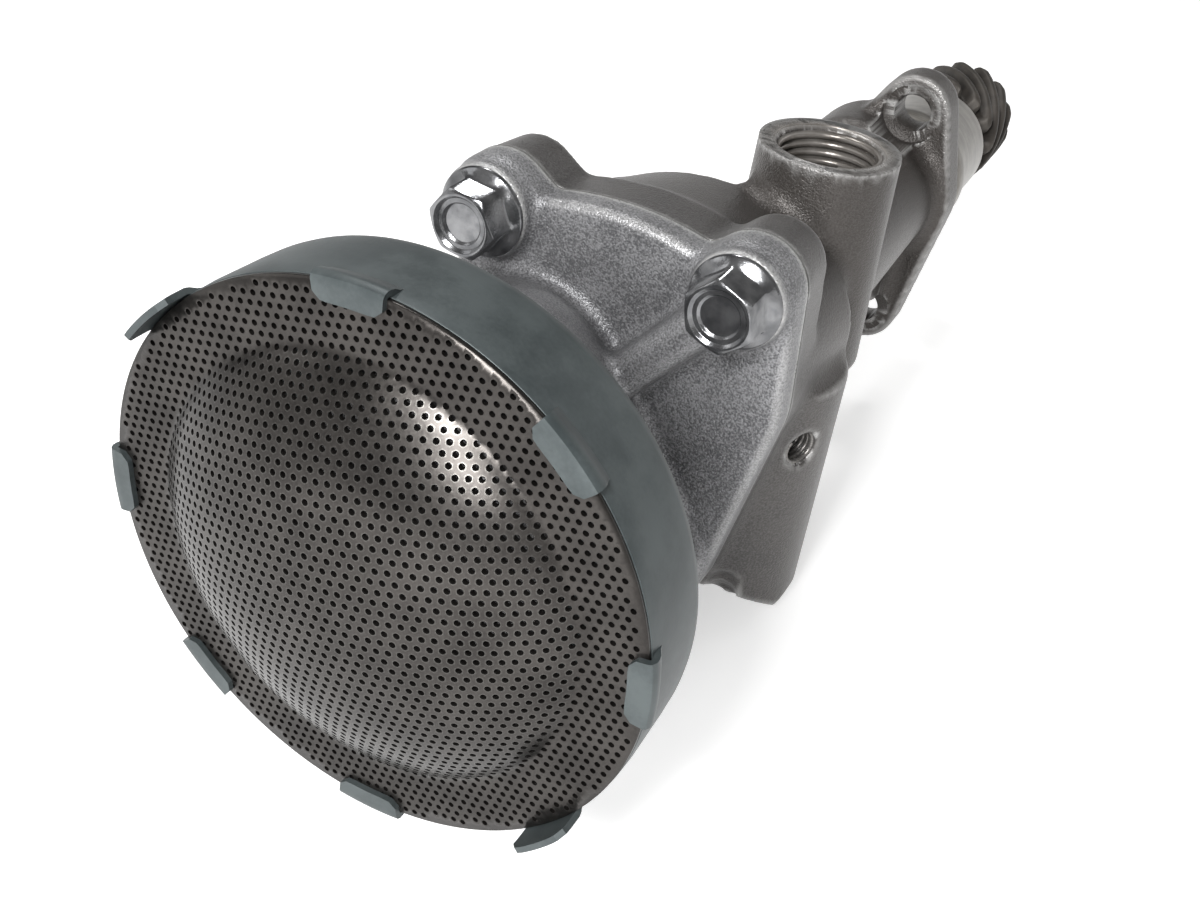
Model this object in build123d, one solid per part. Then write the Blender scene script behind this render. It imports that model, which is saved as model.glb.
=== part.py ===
"""Gear-type engine oil pump: strainer, cover, gear case, relief valve and gear-driven shaft.

Millimetres. The origin lies on the drive shaft's axis, in the mounting face of the flange.
+Y runs along the shaft to the pinion, +Z points out of the outlet port, the strainer faces -Y.
"""

import os
from math import acos, atan, cos, degrees, pi, radians, sin, tan

from build123d import *

# Stations along the shaft, as distances from the mounting face
strainer_distance = 198.0
joint_distance = 116.0
case_length = 32.0
body_flange_thickness = 12.0
body_flange_draft = 1.0

# Drive shaft, bushes and fits
shaft_radius = 6.5
bush_wall = 2.0
running_clearance = 0.04
end_clearance = 0.08
lower_bush_length = 13.0
upper_bush_length = 24.0
bush_shoulder = 3.0
sleeve_relief = 1.0
key_width = 4.0
key_length = 16.0

# Pumping gears
gear_module = 2.5
gear_teeth = 11
pressure_angle = 25.0
gear_width = 25.0
gear_backlash = 0.14
pocket_clearance = 0.06
gear_bush_wall = 2.0
driven_shaft_radius = 6.0
driven_shaft_seat = 15.0

# Gear case and sleeve, both cast in one with the body
case_wall = 2.7
case_foot = 50.0
foot_radius = 17.5
foot_mid_drop = 42.0
foot_front_drop = 47.0
foot_corner_radius = 7.0
column_x = 5.5
column_distance = 95.8
column_radius = 17.3
column_drop = 2.6
sleeve_case_radius = 15.5
sleeve_flange_radius = 13.5
driven_boss_radius = 11.0
driven_boss_height = 12.0
suction_x = -15.5
suction_drop = 15.5
suction_recess_radius = 8.5
pressure_recess_radius = 6.0
pressure_rise = 12.0
gallery_radius = 3.6
gallery_height = 13.2

# Mounting flange, pilot and nose
flange_thickness = 9.0
flange_bolt_x = 3.0
flange_bolt_mid_z = -4.5
flange_bolt_spacing = 51.0
flange_hole_radius = 4.25
flange_lobe_radius = 8.8
flange_disc_radius = 17.0
pilot_radius = 16.0
pilot_length = 10.0
nose_radius = 14.6
nose_length = 34.0
shoulder_x = -6.0
shoulder_z = 3.0
shoulder_radius = 16.0
shoulder_length = 11.0
shoulder_round = 4.0
web_thickness = 8.0
web_foot = 30.0
web_length = 42.0

# Outlet port and side hole
port_x = 3.0
port_distance = 72.0
port_height = 31.8
port_outer_radius = 14.0
port_flare = 1.5
port_thread_radius = 10.2
port_thread_depth = 18.0
port_skirt = 13.0
port_chamfer = 1.0
side_hole_drop = 15.0
side_hole_angle = 30.0
side_hole_radius = 3.4
side_hole_depth = 8.0
side_hole_chamfer = 0.8

# Cover, gasket and their fasteners
cover_thickness = 6.0
gasket_thickness = 0.5
cover_edge_round = 1.5
boss_radius = 9.5
boss_height = 3.0
boss_step = 0.6
upper_bolt_span = 50.0
upper_bolt_mid_x = -17.0
upper_bolt_z = 21.5
lower_bolt_span = 32.0
lower_bolt_z = -38.0
arch_crest = 28.0
arch_drop = 3.5
arch_back_mid_x = -13.0
arch_back_crest = 23.5
arch_back_drop = 6.0
bolt_radius = 4.0
bolt_clearance = 0.3
thread_clearance = 0.03
bolt_depth = 15.0
bolt_hole_spare = 1.0
bolt_hex_flats = 12.0
bolt_hex_height = 6.0
bolt_flange_radius = 8.5
bolt_flange_height = 1.6
bolt_recess_radius = 4.4
bolt_recess_depth = 1.2
spotface_clearance = 0.5
spotface_depth = 9.0
dowel_radius = 2.5
dowel_reach = 6.0
dowel_upper_z = 23.2

# Inlet neck of the cover
inlet_offset = 14.0
neck_radius = 24.0
duct_radius = 17.0
inlet_port_radius = 8.0
bulge_upper = (-32.0, -10.0, 20.0)
bulge_lower = (-9.0, -33.0, 14.0)
cover_rib_end = (-14.0, -5.0)
cover_rib_radius = 4.0
cover_rib_lift = 1.5
spigot_wall = 2.6
neck_facets = 60
duct_bend = 26.0
duct_throat = 11.0

# Strainer cup, screen and retaining ring, sheet steel
cup_radius = 45.0
cup_back_radius = 42.3
cup_depth = 17.5
cup_step = 0.9
cup_bend = 4.5
sheet = 1.2
screen_thickness = 0.8
screen_clearance = 0.05
dome_radius = 35.0
dome_height = 10.5
dome_fullness = 2.3
dome_edge = 0.8
dome_bands = (0.06, 0.3, 0.5, 0.68, 0.82, 0.92, 0.98, 1.0)
tab_count = 8
tab_width = 11.0
tab_fold = 2.8
tab_root = 2.0
tab_turn = -4.0
standing_tab_height = 4.5
standing_tabs = (1, 5)
spigot_clearance = 0.05
ring_wall = 3.5
ring_thickness = 2.5

# Relief valve, lying across the foot of the case
relief_distance = 91.0
relief_bore_radius = 6.5
relief_face_x = 16.0
relief_seat_radius = 4.2
relief_seat_depth = 3.6
relief_feed_radius = 1.8
spill_x = 12.4
spill_radius = 2.8
relief_feed_lead = 2.0
plunger_length = 18.0
plunger_wall = 1.9
plunger_head = 5.0
relief_boss_radius = 11.5
relief_boss_height = 3.5
plug_radius = 7.0
plug_length = 16.0
plug_hex_flats = 17.0
plug_hex_height = 6.0
washer_thickness = 1.5
washer_wall = 3.0
spring_wire_radius = 0.6
spring_clearance = 0.2
spring_turns = 7
spring_steps = 14
spring_sides = 5

# Pinion on the drive shaft, its cross pin and thrust washer
pinion_teeth = 13
pinion_tip_radius = 15.0
pinion_root_radius = 11.3
pinion_face_width = 22.0
pinion_twist = -80.0
pinion_slices = 10
pinion_hub_radius = 11.3
pinion_hub_length = 5.8
pinion_chamfer = 1.2
pinion_pin_radius = 2.0
thrust_washer_thickness = 2.0
thrust_washer_radius = 13.2
shaft_end_chamfer = 0.8

# Sizes that follow from the ones above
joint_y = -joint_distance
gasket_y = joint_y - gasket_thickness
cover_y = gasket_y - cover_thickness
seat_y = cover_y - boss_height
case_y = joint_y + case_length
strainer_y = -strainer_distance
column_y = -column_distance
cup_back_y = strainer_y + cup_depth
centre_distance = gear_module * gear_teeth
pitch_radius = centre_distance / 2
gear_tip_radius = pitch_radius + gear_module
gear_root_radius = pitch_radius - 1.25 * gear_module
pocket_radius = gear_tip_radius + pocket_clearance
pocket_y = joint_y + gear_width + 2 * end_clearance
case_radius = pocket_radius + case_wall
mesh_x = -centre_distance / 2
bush_radius = shaft_radius + running_clearance + bush_wall
spigot_radius = neck_radius - spigot_wall
port_floor = port_height - port_thread_depth
relief_y = -relief_distance
relief_z = -case_foot
relief_left_x = -centre_distance - case_radius
relief_mouth_x = relief_left_x - relief_boss_height
pinion_y = nose_length + end_clearance + thrust_washer_thickness
teeth_y = pinion_y + pinion_hub_length
pinion_end_y = teeth_y + pinion_face_width

upper_bolts = [(upper_bolt_mid_x + side * upper_bolt_span / 2, upper_bolt_z) for side in (1, -1)]
lower_bolts = [(mesh_x + side * lower_bolt_span / 2, lower_bolt_z) for side in (1, -1)]
cover_bolt_places = upper_bolts + lower_bolts
dowel_places = [(mesh_x, dowel_upper_z), (mesh_x, lower_bolt_z)]
flange_bolts = [(flange_bolt_x, flange_bolt_mid_z + side * flange_bolt_spacing / 2) for side in (1, -1)]


def station(y):
    """Sketch plane across the shaft: sketch x is +X and sketch y is +Z."""
    return Plane.XZ.offset(-y)


def prism(outline, y_front, y_back):
    """Solid of one outline between two stations."""
    return extrude(station(y_back) * outline, amount=y_back - y_front)


def rod(x, z, radius, y_front, y_back):
    """Round bar along the shaft direction."""
    return prism(Pos(x, z) * Circle(radius), y_front, y_back)


def cone(x, z, front_radius, back_radius, y_front, y_back):
    """Tapered round bar along the shaft direction."""
    bar = Cone(back_radius, front_radius, y_back - y_front)
    return Pos(x, (y_front + y_back) / 2, z) * Rot(90, 0, 0) * bar


def turned(profile, x=0.0, z=0.0, arc=360.0):
    """Solid turned about an axis along Y, from a profile of (radius, y)."""
    return Pos(x, 0, z) * revolve(profile, Axis.Y, revolution_arc=arc)


def upright(x, y, radius, z_low, z_high):
    """Round bar along Z."""
    return extrude(Pos(x, y, z_low) * Circle(radius), amount=z_high - z_low)


def crossbar(y, z, radius, x_low, x_high):
    """Round bar along X."""
    return extrude(Plane.YZ.offset(x_low) * Pos(y, z) * Circle(radius), amount=x_high - x_low)


def drilling(start, end, radius):
    """Round bar between two points."""
    way = Vector(*end) - Vector(*start)
    return extrude(Plane(origin=start, z_dir=way) * Circle(radius), amount=way.length)


def hull(*discs):
    """Outline drawn tightly round discs given as (x, z, radius)."""
    rims = [edge for x, z, radius in discs for edge in (Pos(x, z) * Circle(radius)).edges()]
    return make_hull(rims)


def hexagon(flats):
    """Hexagon given by its size across flats, flats up and down."""
    return RegularPolygon(flats / 2, 6, major_radius=False)


def faceted(rings):
    """Closed solid of flat facets between matching rings of points, with flat ends."""
    facets = [Face(Wire.make_polygon(ring)) for ring in (rings[0], rings[-1])]
    for near, far in zip(rings, rings[1:]):
        for i in range(len(near)):
            following = (i + 1) % len(near)
            facets.append(Face(Wire.make_polygon([near[i], near[following], far[following]])))
            facets.append(Face(Wire.make_polygon([near[i], far[following], far[i]])))
    return Solid(Shell(facets))


def wrapped(discs, y, count):
    """Points round discs given as (x, z, radius), one for each direction, at a station."""
    points = []
    for step in range(count):
        angle = 2 * pi * step / count
        reach = [x * cos(angle) + z * sin(angle) + radius for x, z, radius in discs]
        x, z, radius = discs[reach.index(max(reach))]
        points.append((x + radius * cos(angle), y, z + radius * sin(angle)))
    return points


def arch_outline(mid_x, crest, drop):
    """Arched top of the case, over a flat sill on the shaft's level."""
    half_arch = upper_bolt_span / 2 - boss_radius / 2
    left = (mid_x - half_arch, crest - drop)
    right = (mid_x + half_arch, crest - drop)
    arc = ThreePointArc(left, (mid_x, crest), right)
    sill = Polyline(right, (right[0], 0), (left[0], 0), left)
    return make_face(arc + sill)


def front_arch():
    return arch_outline(upper_bolt_mid_x, arch_crest, arch_drop)


def cover_outline():
    """Outline shared by the cover, its gasket and the body's front flange."""
    drive_case = (0, 0, case_radius)
    driven_case = (-centre_distance, 0, case_radius)
    feet = [(x, z, boss_radius) for x, z in lower_bolts]
    right, left = [(x, z, boss_radius) for x, z in upper_bolts]
    ears = hull(drive_case, right) + hull(driven_case, left)
    return hull(drive_case, driven_case, *feet) + ears + front_arch()


def gear_outline(first_tooth):
    """Spur gear outline, with a tooth centred at the given angle in degrees."""
    pressure = radians(pressure_angle)
    base_radius = pitch_radius * cos(pressure)

    def half_tooth(radius):
        roll = acos(min(1.0, base_radius / radius))
        involute = tan(pressure) - pressure - (tan(roll) - roll)
        return pi / (2 * gear_teeth) + involute - gear_backlash / (4 * pitch_radius)

    def point(radius, angle):
        return (radius * cos(angle), radius * sin(angle))

    middle_radius = (base_radius + gear_tip_radius) / 2
    pitch = 2 * pi / gear_teeth
    edges = []
    for tooth in range(gear_teeth):
        axis = radians(first_tooth) + tooth * pitch
        rising = [
            point(gear_root_radius, axis - half_tooth(base_radius)),
            point(base_radius, axis - half_tooth(base_radius)),
            point(middle_radius, axis - half_tooth(middle_radius)),
            point(gear_tip_radius, axis - half_tooth(gear_tip_radius)),
        ]
        falling = [
            point(gear_tip_radius, axis + half_tooth(gear_tip_radius)),
            point(middle_radius, axis + half_tooth(middle_radius)),
            point(base_radius, axis + half_tooth(base_radius)),
            point(gear_root_radius, axis + half_tooth(base_radius)),
        ]
        following = point(gear_root_radius, axis + pitch - half_tooth(base_radius))
        edges += [
            Edge.make_line(rising[0], rising[1]),
            Edge.make_three_point_arc(rising[1], rising[2], rising[3]),
            Edge.make_three_point_arc(rising[3], point(gear_tip_radius, axis), falling[0]),
            Edge.make_three_point_arc(falling[0], falling[1], falling[2]),
            Edge.make_line(falling[2], falling[3]),
            Edge.make_three_point_arc(falling[3], point(gear_root_radius, axis + pitch / 2), following),
        ]
    return Face(Wire(edges))


def pinion_ring(y, turn):
    """Corners of the helical pinion's teeth at one station, turned by an angle in degrees."""
    pitch = 2 * pi / pinion_teeth
    tip_share, root_share = 0.16, 0.36
    points = []
    for tooth in range(pinion_teeth):
        for share, radius in (
            (-root_share, pinion_root_radius),
            (-tip_share, pinion_tip_radius),
            (tip_share, pinion_tip_radius),
            (root_share, pinion_root_radius),
        ):
            angle = (tooth + share) * pitch - radians(turn)
            points.append((radius * cos(angle), y, radius * sin(angle)))
    return points


def dome_rise(share):
    """Height of the screen's dome over its rim, at a share of the dome's radius."""
    return dome_height * (1 - share**dome_fullness) ** dome_edge


def strainer_screen():
    """Flat rim and shallow dome in one pressed sheet, lying on the cup's rim."""
    rim_radius = cup_radius - screen_clearance
    front = [(share * dome_radius, strainer_y - dome_rise(share)) for share in dome_bands]
    front.insert(0, (0, front[0][1]))
    rim = [(rim_radius, strainer_y), (rim_radius, strainer_y + screen_thickness)]
    back = [(radius, y + screen_thickness) for radius, y in reversed(front)]
    return turned(Polygon(*front, *rim, *back, align=None), -inlet_offset)


def cup_tab(angle, standing):
    """One tab rising from the cup's wall round the screen's edge: folded over it, or left standing."""
    ledge_y = strainer_y + screen_thickness
    tip_y = strainer_y - standing_tab_height if standing else strainer_y - sheet
    corners = [
        (cup_radius - sheet / 2, ledge_y + tab_root),
        (cup_radius - sheet / 2, ledge_y),
        (cup_radius, ledge_y),
        (cup_radius, strainer_y),
    ]
    if standing:
        corners.append((cup_radius, tip_y))
    else:
        corners += [(cup_radius - tab_fold, strainer_y), (cup_radius - tab_fold, tip_y)]
    corners += [(cup_radius + sheet, tip_y), (cup_radius + sheet, ledge_y), (cup_radius, ledge_y + tab_root)]
    sweep_angle = degrees(tab_width / cup_radius)
    return Rot(0, angle - sweep_angle / 2, 0) * turned(Polygon(*corners, align=None), arc=sweep_angle)


def strainer_cup():
    """Pressed pan with a stepped rim, a tapered wall, a hole for the neck and eight tabs."""
    ledge_y = strainer_y + screen_thickness
    neck_radius_inside = spigot_radius + spigot_clearance
    step_radius = cup_radius - cup_step
    pan = Polygon(
        (cup_radius, ledge_y),
        (cup_radius, ledge_y + tab_root),
        (step_radius, ledge_y + tab_root + sheet),
        (cup_back_radius, cup_back_y - cup_bend),
        (cup_back_radius - cup_bend, cup_back_y),
        (neck_radius_inside, cup_back_y),
        (neck_radius_inside, cup_back_y - sheet),
        (cup_back_radius - cup_bend, cup_back_y - sheet),
        (cup_back_radius - sheet, cup_back_y - cup_bend),
        (step_radius - sheet, ledge_y + tab_root + sheet),
        (cup_radius - sheet, ledge_y + tab_root),
        (cup_radius - sheet, ledge_y),
        align=None,
    )
    cup = turned(pan)
    for tab in range(tab_count):
        cup += cup_tab(tab_turn + tab * 360 / tab_count, tab in standing_tabs)
    return Pos(-inlet_offset, 0, 0) * cup


def cup_retaining_ring():
    """Steel ring pressed on the neck's spigot, clamping the cup against the neck's shoulder."""
    front_y = cup_back_y - sheet - ring_thickness
    ring = rod(-inlet_offset, 0, spigot_radius + ring_wall, front_y, cup_back_y - sheet)
    return ring - rod(-inlet_offset, 0, spigot_radius, front_y, cup_back_y - sheet)


def pump_cover():
    """Die-cast cover with four bolt bosses, a cast rib and the flared inlet neck."""
    plate = prism(cover_outline(), cover_y, gasket_y)
    front_rim = plate.faces().sort_by(Axis.Y)[0].edges()
    plate = fillet(front_rim, cover_edge_round)
    for x, z in cover_bolt_places:
        plate += rod(x, z, boss_radius - boss_step, seat_y, gasket_y)
    neck_end = wrapped([(-inlet_offset, 0, neck_radius)], cup_back_y, neck_facets)
    bulge = faceted([neck_end, wrapped([bulge_upper, bulge_lower], cover_y + cover_thickness / 2, neck_facets)])
    spigot_y = cup_back_y - sheet - ring_thickness
    spigot = rod(-inlet_offset, 0, spigot_radius, spigot_y, cup_back_y)
    boss_x, boss_z = upper_bolts[0]
    rib_end = (cover_rib_end[0], seat_y, cover_rib_end[1])
    rib = drilling((boss_x, cover_y - cover_rib_lift, boss_z), rib_end, cover_rib_radius)
    cover = plate + bulge + spigot + rib
    bend_y = spigot_y + duct_bend
    cover -= cone(-inlet_offset, 0, duct_radius, duct_throat, spigot_y, bend_y)
    cover -= drilling((-inlet_offset, bend_y, 0), (suction_x, cover_y, -suction_drop), inlet_port_radius)
    cover -= rod(suction_x, -suction_drop, inlet_port_radius, cover_y, gasket_y)
    for x, z in cover_bolt_places:
        cover -= rod(x, z, bolt_flange_radius + spotface_clearance, seat_y - spotface_depth, seat_y)
        cover -= rod(x, z, bolt_radius + bolt_clearance, seat_y, gasket_y)
    for x, z in dowel_places:
        cover -= rod(x, z, dowel_radius, gasket_y - dowel_reach / 2, gasket_y)
    return cover


def cover_gasket():
    """Thin gasket that frames the gear pocket."""
    gasket = prism(cover_outline(), gasket_y, joint_y)
    gasket -= rod(0, 0, pocket_radius, gasket_y, joint_y)
    gasket -= rod(-centre_distance, 0, pocket_radius, gasket_y, joint_y)
    gasket -= rod(suction_x, -suction_drop, suction_recess_radius, gasket_y, joint_y)
    gasket -= rod(mesh_x, pressure_rise, pressure_recess_radius, gasket_y, joint_y)
    for x, z in cover_bolt_places:
        gasket -= rod(x, z, bolt_radius + bolt_clearance, gasket_y, joint_y)
    for x, z in dowel_places:
        gasket -= rod(x, z, dowel_radius, gasket_y, joint_y)
    return gasket


def case_block():
    """Foot of the case: a round underside, ending on the right in an upright round column."""
    corners = [(joint_y, 0), (case_y, 0), (joint_y, -foot_front_drop)]
    rims = Polyline(*corners, close=True).edges()
    rims += (Pos(relief_y, -foot_mid_drop) * Circle(foot_radius)).edges()
    right_x = column_x + column_radius
    side = extrude(Plane.YZ.offset(relief_left_x) * make_hull(rims), amount=right_x - relief_left_x)
    plan_corners = [(relief_left_x, joint_y), (relief_left_x, case_y), (mesh_x, joint_y)]
    plan_rims = Polyline(*plan_corners, close=True).edges()
    plan_rims += (Pos(column_x, column_y) * Circle(column_radius)).edges()
    low_z = relief_z - foot_radius
    plan = extrude(Pos(0, 0, low_z) * make_hull(plan_rims), amount=-column_drop - low_z)
    corner_z = foot_corner_radius - foot_mid_drop - foot_radius
    front_rims = Polyline((relief_left_x, 0), (right_x, 0), (relief_left_x, relief_z), close=True).edges()
    front_rims += (Pos(right_x - foot_corner_radius, corner_z) * Circle(foot_corner_radius)).edges()
    front_rims += (Pos(relief_left_x + foot_corner_radius, corner_z) * Circle(foot_corner_radius)).edges()
    front = prism(make_hull(front_rims), joint_y, case_y)
    return side & plan & front


def lower_web():
    """Three-cornered web between the sleeve's underside and the lower end of the flange."""
    corners = [(-flange_thickness - web_length, 0), (-flange_thickness, 0), (-flange_thickness, -web_foot)]
    web = Plane.YZ.offset(flange_bolt_x) * Polygon(*corners, align=None)
    return extrude(web, amount=web_thickness / 2, both=True)


def body_flange():
    """Front flange of the body, drafted towards its back."""
    back_y = joint_y + body_flange_thickness
    draft = degrees(atan(body_flange_draft / body_flange_thickness))
    back = offset(cover_outline(), -body_flange_draft)
    return extrude(station(back_y) * back, amount=body_flange_thickness, taper=-draft)


def side_hole_plane(distance):
    """Plane across the side hole's axis, at a distance from the column's axis."""
    turn = radians(side_hole_angle)
    outward = (cos(turn), -sin(turn), 0)
    origin = (column_x + distance * cos(turn), column_y - distance * sin(turn), -side_hole_drop)
    return Plane(origin=origin, z_dir=outward)


def body_casting():
    """Outer form of the body: flange, gear case, foot, sleeve, port, mounting flange and nose."""
    port_y = -port_distance
    casting = body_flange()
    back_arch = arch_outline(arch_back_mid_x, arch_back_crest, arch_back_drop)
    casting += loft([station(joint_y) * front_arch(), station(case_y) * back_arch])
    casting += prism(hull((0, 0, case_radius), (-centre_distance, 0, case_radius)), joint_y, case_y)
    casting += case_block()
    casting += crossbar(relief_y, relief_z, relief_boss_radius, relief_mouth_x, relief_left_x)
    casting += rod(-centre_distance, 0, driven_boss_radius, case_y, case_y + driven_boss_height)
    casting += cone(0, 0, sleeve_case_radius, sleeve_flange_radius, case_y, -flange_thickness)
    port = Cone(port_outer_radius + port_flare, port_outer_radius, port_height + port_skirt)
    casting += Pos(port_x, port_y, (port_height - port_skirt) / 2) * port
    casting += lower_web()
    shoulder_y = -flange_thickness - shoulder_length
    shoulder = rod(shoulder_x, shoulder_z, shoulder_radius, shoulder_y, 0)
    casting += fillet(shoulder.faces().sort_by(Axis.Y)[0].edges(), shoulder_round)
    (upper_x, upper_z), (lower_x, lower_z) = flange_bolts
    flange = hull(
        (upper_x, upper_z, flange_lobe_radius),
        (0, 0, flange_disc_radius),
        (lower_x, lower_z, flange_lobe_radius),
    )
    casting += prism(flange, -flange_thickness, 0)
    casting += rod(0, 0, pilot_radius, 0, pilot_length)
    casting += rod(0, 0, nose_radius, pilot_length, nose_length)
    return casting


def pump_body():
    """Body casting with its gear pocket, bores, galleries and threaded holes."""
    body = body_casting()
    body -= rod(0, 0, pocket_radius, joint_y, pocket_y)
    body -= rod(-centre_distance, 0, pocket_radius, joint_y, pocket_y)
    body -= rod(suction_x, -suction_drop, suction_recess_radius, joint_y, pocket_y)
    body -= rod(mesh_x, pressure_rise, pressure_recess_radius, joint_y, pocket_y)
    body -= rod(-centre_distance, 0, driven_shaft_radius, pocket_y, pocket_y + driven_shaft_seat)
    bush_end_y = pocket_y + lower_bush_length
    upper_bush_y = nose_length - upper_bush_length
    body -= rod(0, 0, bush_radius, pocket_y, bush_end_y)
    body -= rod(0, 0, bush_radius + sleeve_relief, bush_end_y, upper_bush_y)
    body -= rod(0, 0, bush_radius, upper_bush_y, nose_length)
    for x, z in cover_bolt_places:
        body -= rod(x, z, bolt_radius + thread_clearance, joint_y, joint_y + bolt_depth + bolt_hole_spare)
    for x, z in dowel_places:
        body -= rod(x, z, dowel_radius, joint_y, joint_y + dowel_reach)
    for x, z in flange_bolts:
        body -= rod(x, z, flange_hole_radius, -flange_thickness, 0)
    port_y = -port_distance
    body -= upright(port_x, port_y, port_thread_radius, port_floor, port_height)
    mouth = Cone(port_thread_radius, port_thread_radius + port_chamfer, port_chamfer)
    body -= Pos(port_x, port_y, port_height - port_chamfer / 2) * mouth
    gallery_end = (port_x, port_y, gallery_height)
    body -= drilling((mesh_x, pocket_y - gallery_radius, gallery_height), gallery_end, gallery_radius)
    seat_x = relief_face_x + relief_seat_depth / 2
    feed_start = (port_x + port_thread_radius / 2 + 1, port_y - port_thread_radius / 2, port_floor)
    body -= drilling(feed_start, (seat_x, relief_y - relief_feed_lead, relief_z), relief_feed_radius)
    body -= crossbar(relief_y, relief_z, relief_bore_radius, relief_mouth_x, relief_face_x)
    body -= crossbar(relief_y, relief_z, plug_radius, relief_mouth_x, relief_mouth_x + plug_length + bolt_hole_spare)
    body -= crossbar(relief_y, relief_z, relief_seat_radius, relief_face_x, relief_face_x + relief_seat_depth)
    spill_z = relief_z + spill_radius
    spill = prism(Pos(spill_x, spill_z) * Circle(spill_radius), joint_y, relief_y)
    spill += prism(Pos(spill_x, relief_z) * Rectangle(2 * spill_radius, 2 * spill_radius), joint_y, relief_y)
    body -= spill
    inner_plane = side_hole_plane(column_radius - side_hole_depth)
    body -= extrude(inner_plane * Circle(side_hole_radius), amount=side_hole_depth)
    countersink = Cone(side_hole_radius, side_hole_radius + 2 * side_hole_chamfer, 2 * side_hole_chamfer)
    return body - side_hole_plane(column_radius) * countersink


def lined_ring(outer_radius, inner_radius, y_front, y_back, x=0.0):
    """Plain bush between two stations."""
    return rod(x, 0, outer_radius, y_front, y_back) - rod(x, 0, inner_radius, y_front, y_back)


def lower_bush():
    inner = shaft_radius + running_clearance
    return lined_ring(bush_radius, inner, pocket_y, pocket_y + lower_bush_length)


def upper_bush():
    inner = shaft_radius + running_clearance
    return lined_ring(bush_radius, inner, nose_length - upper_bush_length, nose_length)


def key_block():
    """Key between the drive shaft and its gear, half in each."""
    middle_y = joint_y + end_clearance + gear_width / 2
    return Pos(0, middle_y, shaft_radius) * Box(key_width, key_length, key_width)


def drive_shaft():
    """Shaft from the cover to the pinion's end, keyed at the gear."""
    front_y = joint_y + end_clearance
    shaft = rod(0, 0, shaft_radius, front_y, pinion_end_y)
    shaft = chamfer(shaft.edges().filter_by(GeomType.CIRCLE), shaft_end_chamfer)
    pin_y = pinion_y + pinion_hub_length / 2
    return shaft - key_block() - upright(0, pin_y, pinion_pin_radius, -pinion_hub_radius, pinion_hub_radius)


def drive_gear():
    front_y = joint_y + end_clearance
    gear = prism(gear_outline(180), front_y, front_y + gear_width)
    return gear - rod(0, 0, shaft_radius, front_y, front_y + gear_width) - key_block()


def driven_gear():
    front_y = joint_y + end_clearance
    gear = Pos(-centre_distance, 0, 0) * prism(gear_outline(180 / gear_teeth), front_y, front_y + gear_width)
    bore = driven_shaft_radius + running_clearance + gear_bush_wall
    return gear - rod(-centre_distance, 0, bore, front_y, front_y + gear_width)


def driven_gear_bush():
    front_y = joint_y + end_clearance
    inner = driven_shaft_radius + running_clearance
    return lined_ring(inner + gear_bush_wall, inner, front_y, front_y + gear_width, -centre_distance)


def driven_shaft():
    """Fixed stub shaft, pressed into the rear wall of the gear pocket."""
    pin = rod(-centre_distance, 0, driven_shaft_radius, joint_y + end_clearance, pocket_y + driven_shaft_seat)
    front_rim = pin.faces().sort_by(Axis.Y)[0].edges()
    return chamfer(front_rim, shaft_end_chamfer)


def pinion():
    """Helical pinion with its hub towards the nose."""
    slices = [step / pinion_slices for step in range(pinion_slices + 1)]
    teeth = faceted([pinion_ring(teeth_y + share * pinion_face_width, share * pinion_twist) for share in slices])
    blank = turned(
        Polygon(
            (0, pinion_y),
            (pinion_hub_radius, pinion_y),
            (pinion_hub_radius, teeth_y),
            (pinion_tip_radius - pinion_chamfer, teeth_y),
            (pinion_tip_radius, teeth_y + pinion_chamfer),
            (pinion_tip_radius, pinion_end_y - pinion_chamfer),
            (pinion_tip_radius - pinion_chamfer, pinion_end_y),
            (0, pinion_end_y),
            align=None,
        )
    )
    hub = rod(0, 0, pinion_hub_radius, pinion_y, teeth_y)
    gear = (blank & teeth) + hub
    gear -= rod(0, 0, shaft_radius, pinion_y, pinion_end_y)
    pin_y = pinion_y + pinion_hub_length / 2
    return gear - upright(0, pin_y, pinion_pin_radius, -pinion_hub_radius, pinion_hub_radius)


def pinion_pin():
    pin_y = pinion_y + pinion_hub_length / 2
    reach = pinion_hub_radius - 0.4
    return upright(0, pin_y, pinion_pin_radius, -reach, reach)


def thrust_washer():
    inner = shaft_radius + running_clearance
    return lined_ring(thrust_washer_radius, inner, nose_length, nose_length + thrust_washer_thickness)


def relief_plunger():
    """Hollow plunger whose face closes the seat and whose skirt covers the spill hole."""
    radius = relief_bore_radius - running_clearance
    back_x = relief_face_x - plunger_length
    plunger = crossbar(relief_y, relief_z, radius, back_x, relief_face_x)
    hollow = crossbar(relief_y, relief_z, radius - plunger_wall, back_x, relief_face_x - plunger_head)
    return plunger - hollow


def relief_spring():
    """Coil spring between the plug and the floor of the plunger."""
    start_x = relief_mouth_x + plug_length
    end_x = relief_face_x - plunger_head
    coil_radius = relief_bore_radius - running_clearance - plunger_wall - spring_clearance - spring_wire_radius
    length = end_x - start_x - 2 * spring_wire_radius
    rings = []
    for step in range(spring_turns * spring_steps + 1):
        angle = 2 * pi * step / spring_steps
        along = start_x + spring_wire_radius + length * step / (spring_turns * spring_steps)
        ring = []
        for side in range(spring_sides):
            tilt = 2 * pi * side / spring_sides
            reach = coil_radius + spring_wire_radius * cos(tilt)
            x = along + spring_wire_radius * sin(tilt)
            ring.append((x, relief_y + reach * cos(angle), relief_z + reach * sin(angle)))
        rings.append(ring)
    return faceted(rings)


def relief_plug():
    """Hexagon-headed plug that closes the relief bore and carries the spring."""
    head_x = relief_mouth_x - washer_thickness
    shank = crossbar(relief_y, relief_z, plug_radius - thread_clearance, head_x, relief_mouth_x + plug_length)
    head_plane = Plane.YZ.offset(head_x - plug_hex_height) * Pos(relief_y, relief_z)
    return shank + extrude(head_plane * hexagon(plug_hex_flats), amount=plug_hex_height)


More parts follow.
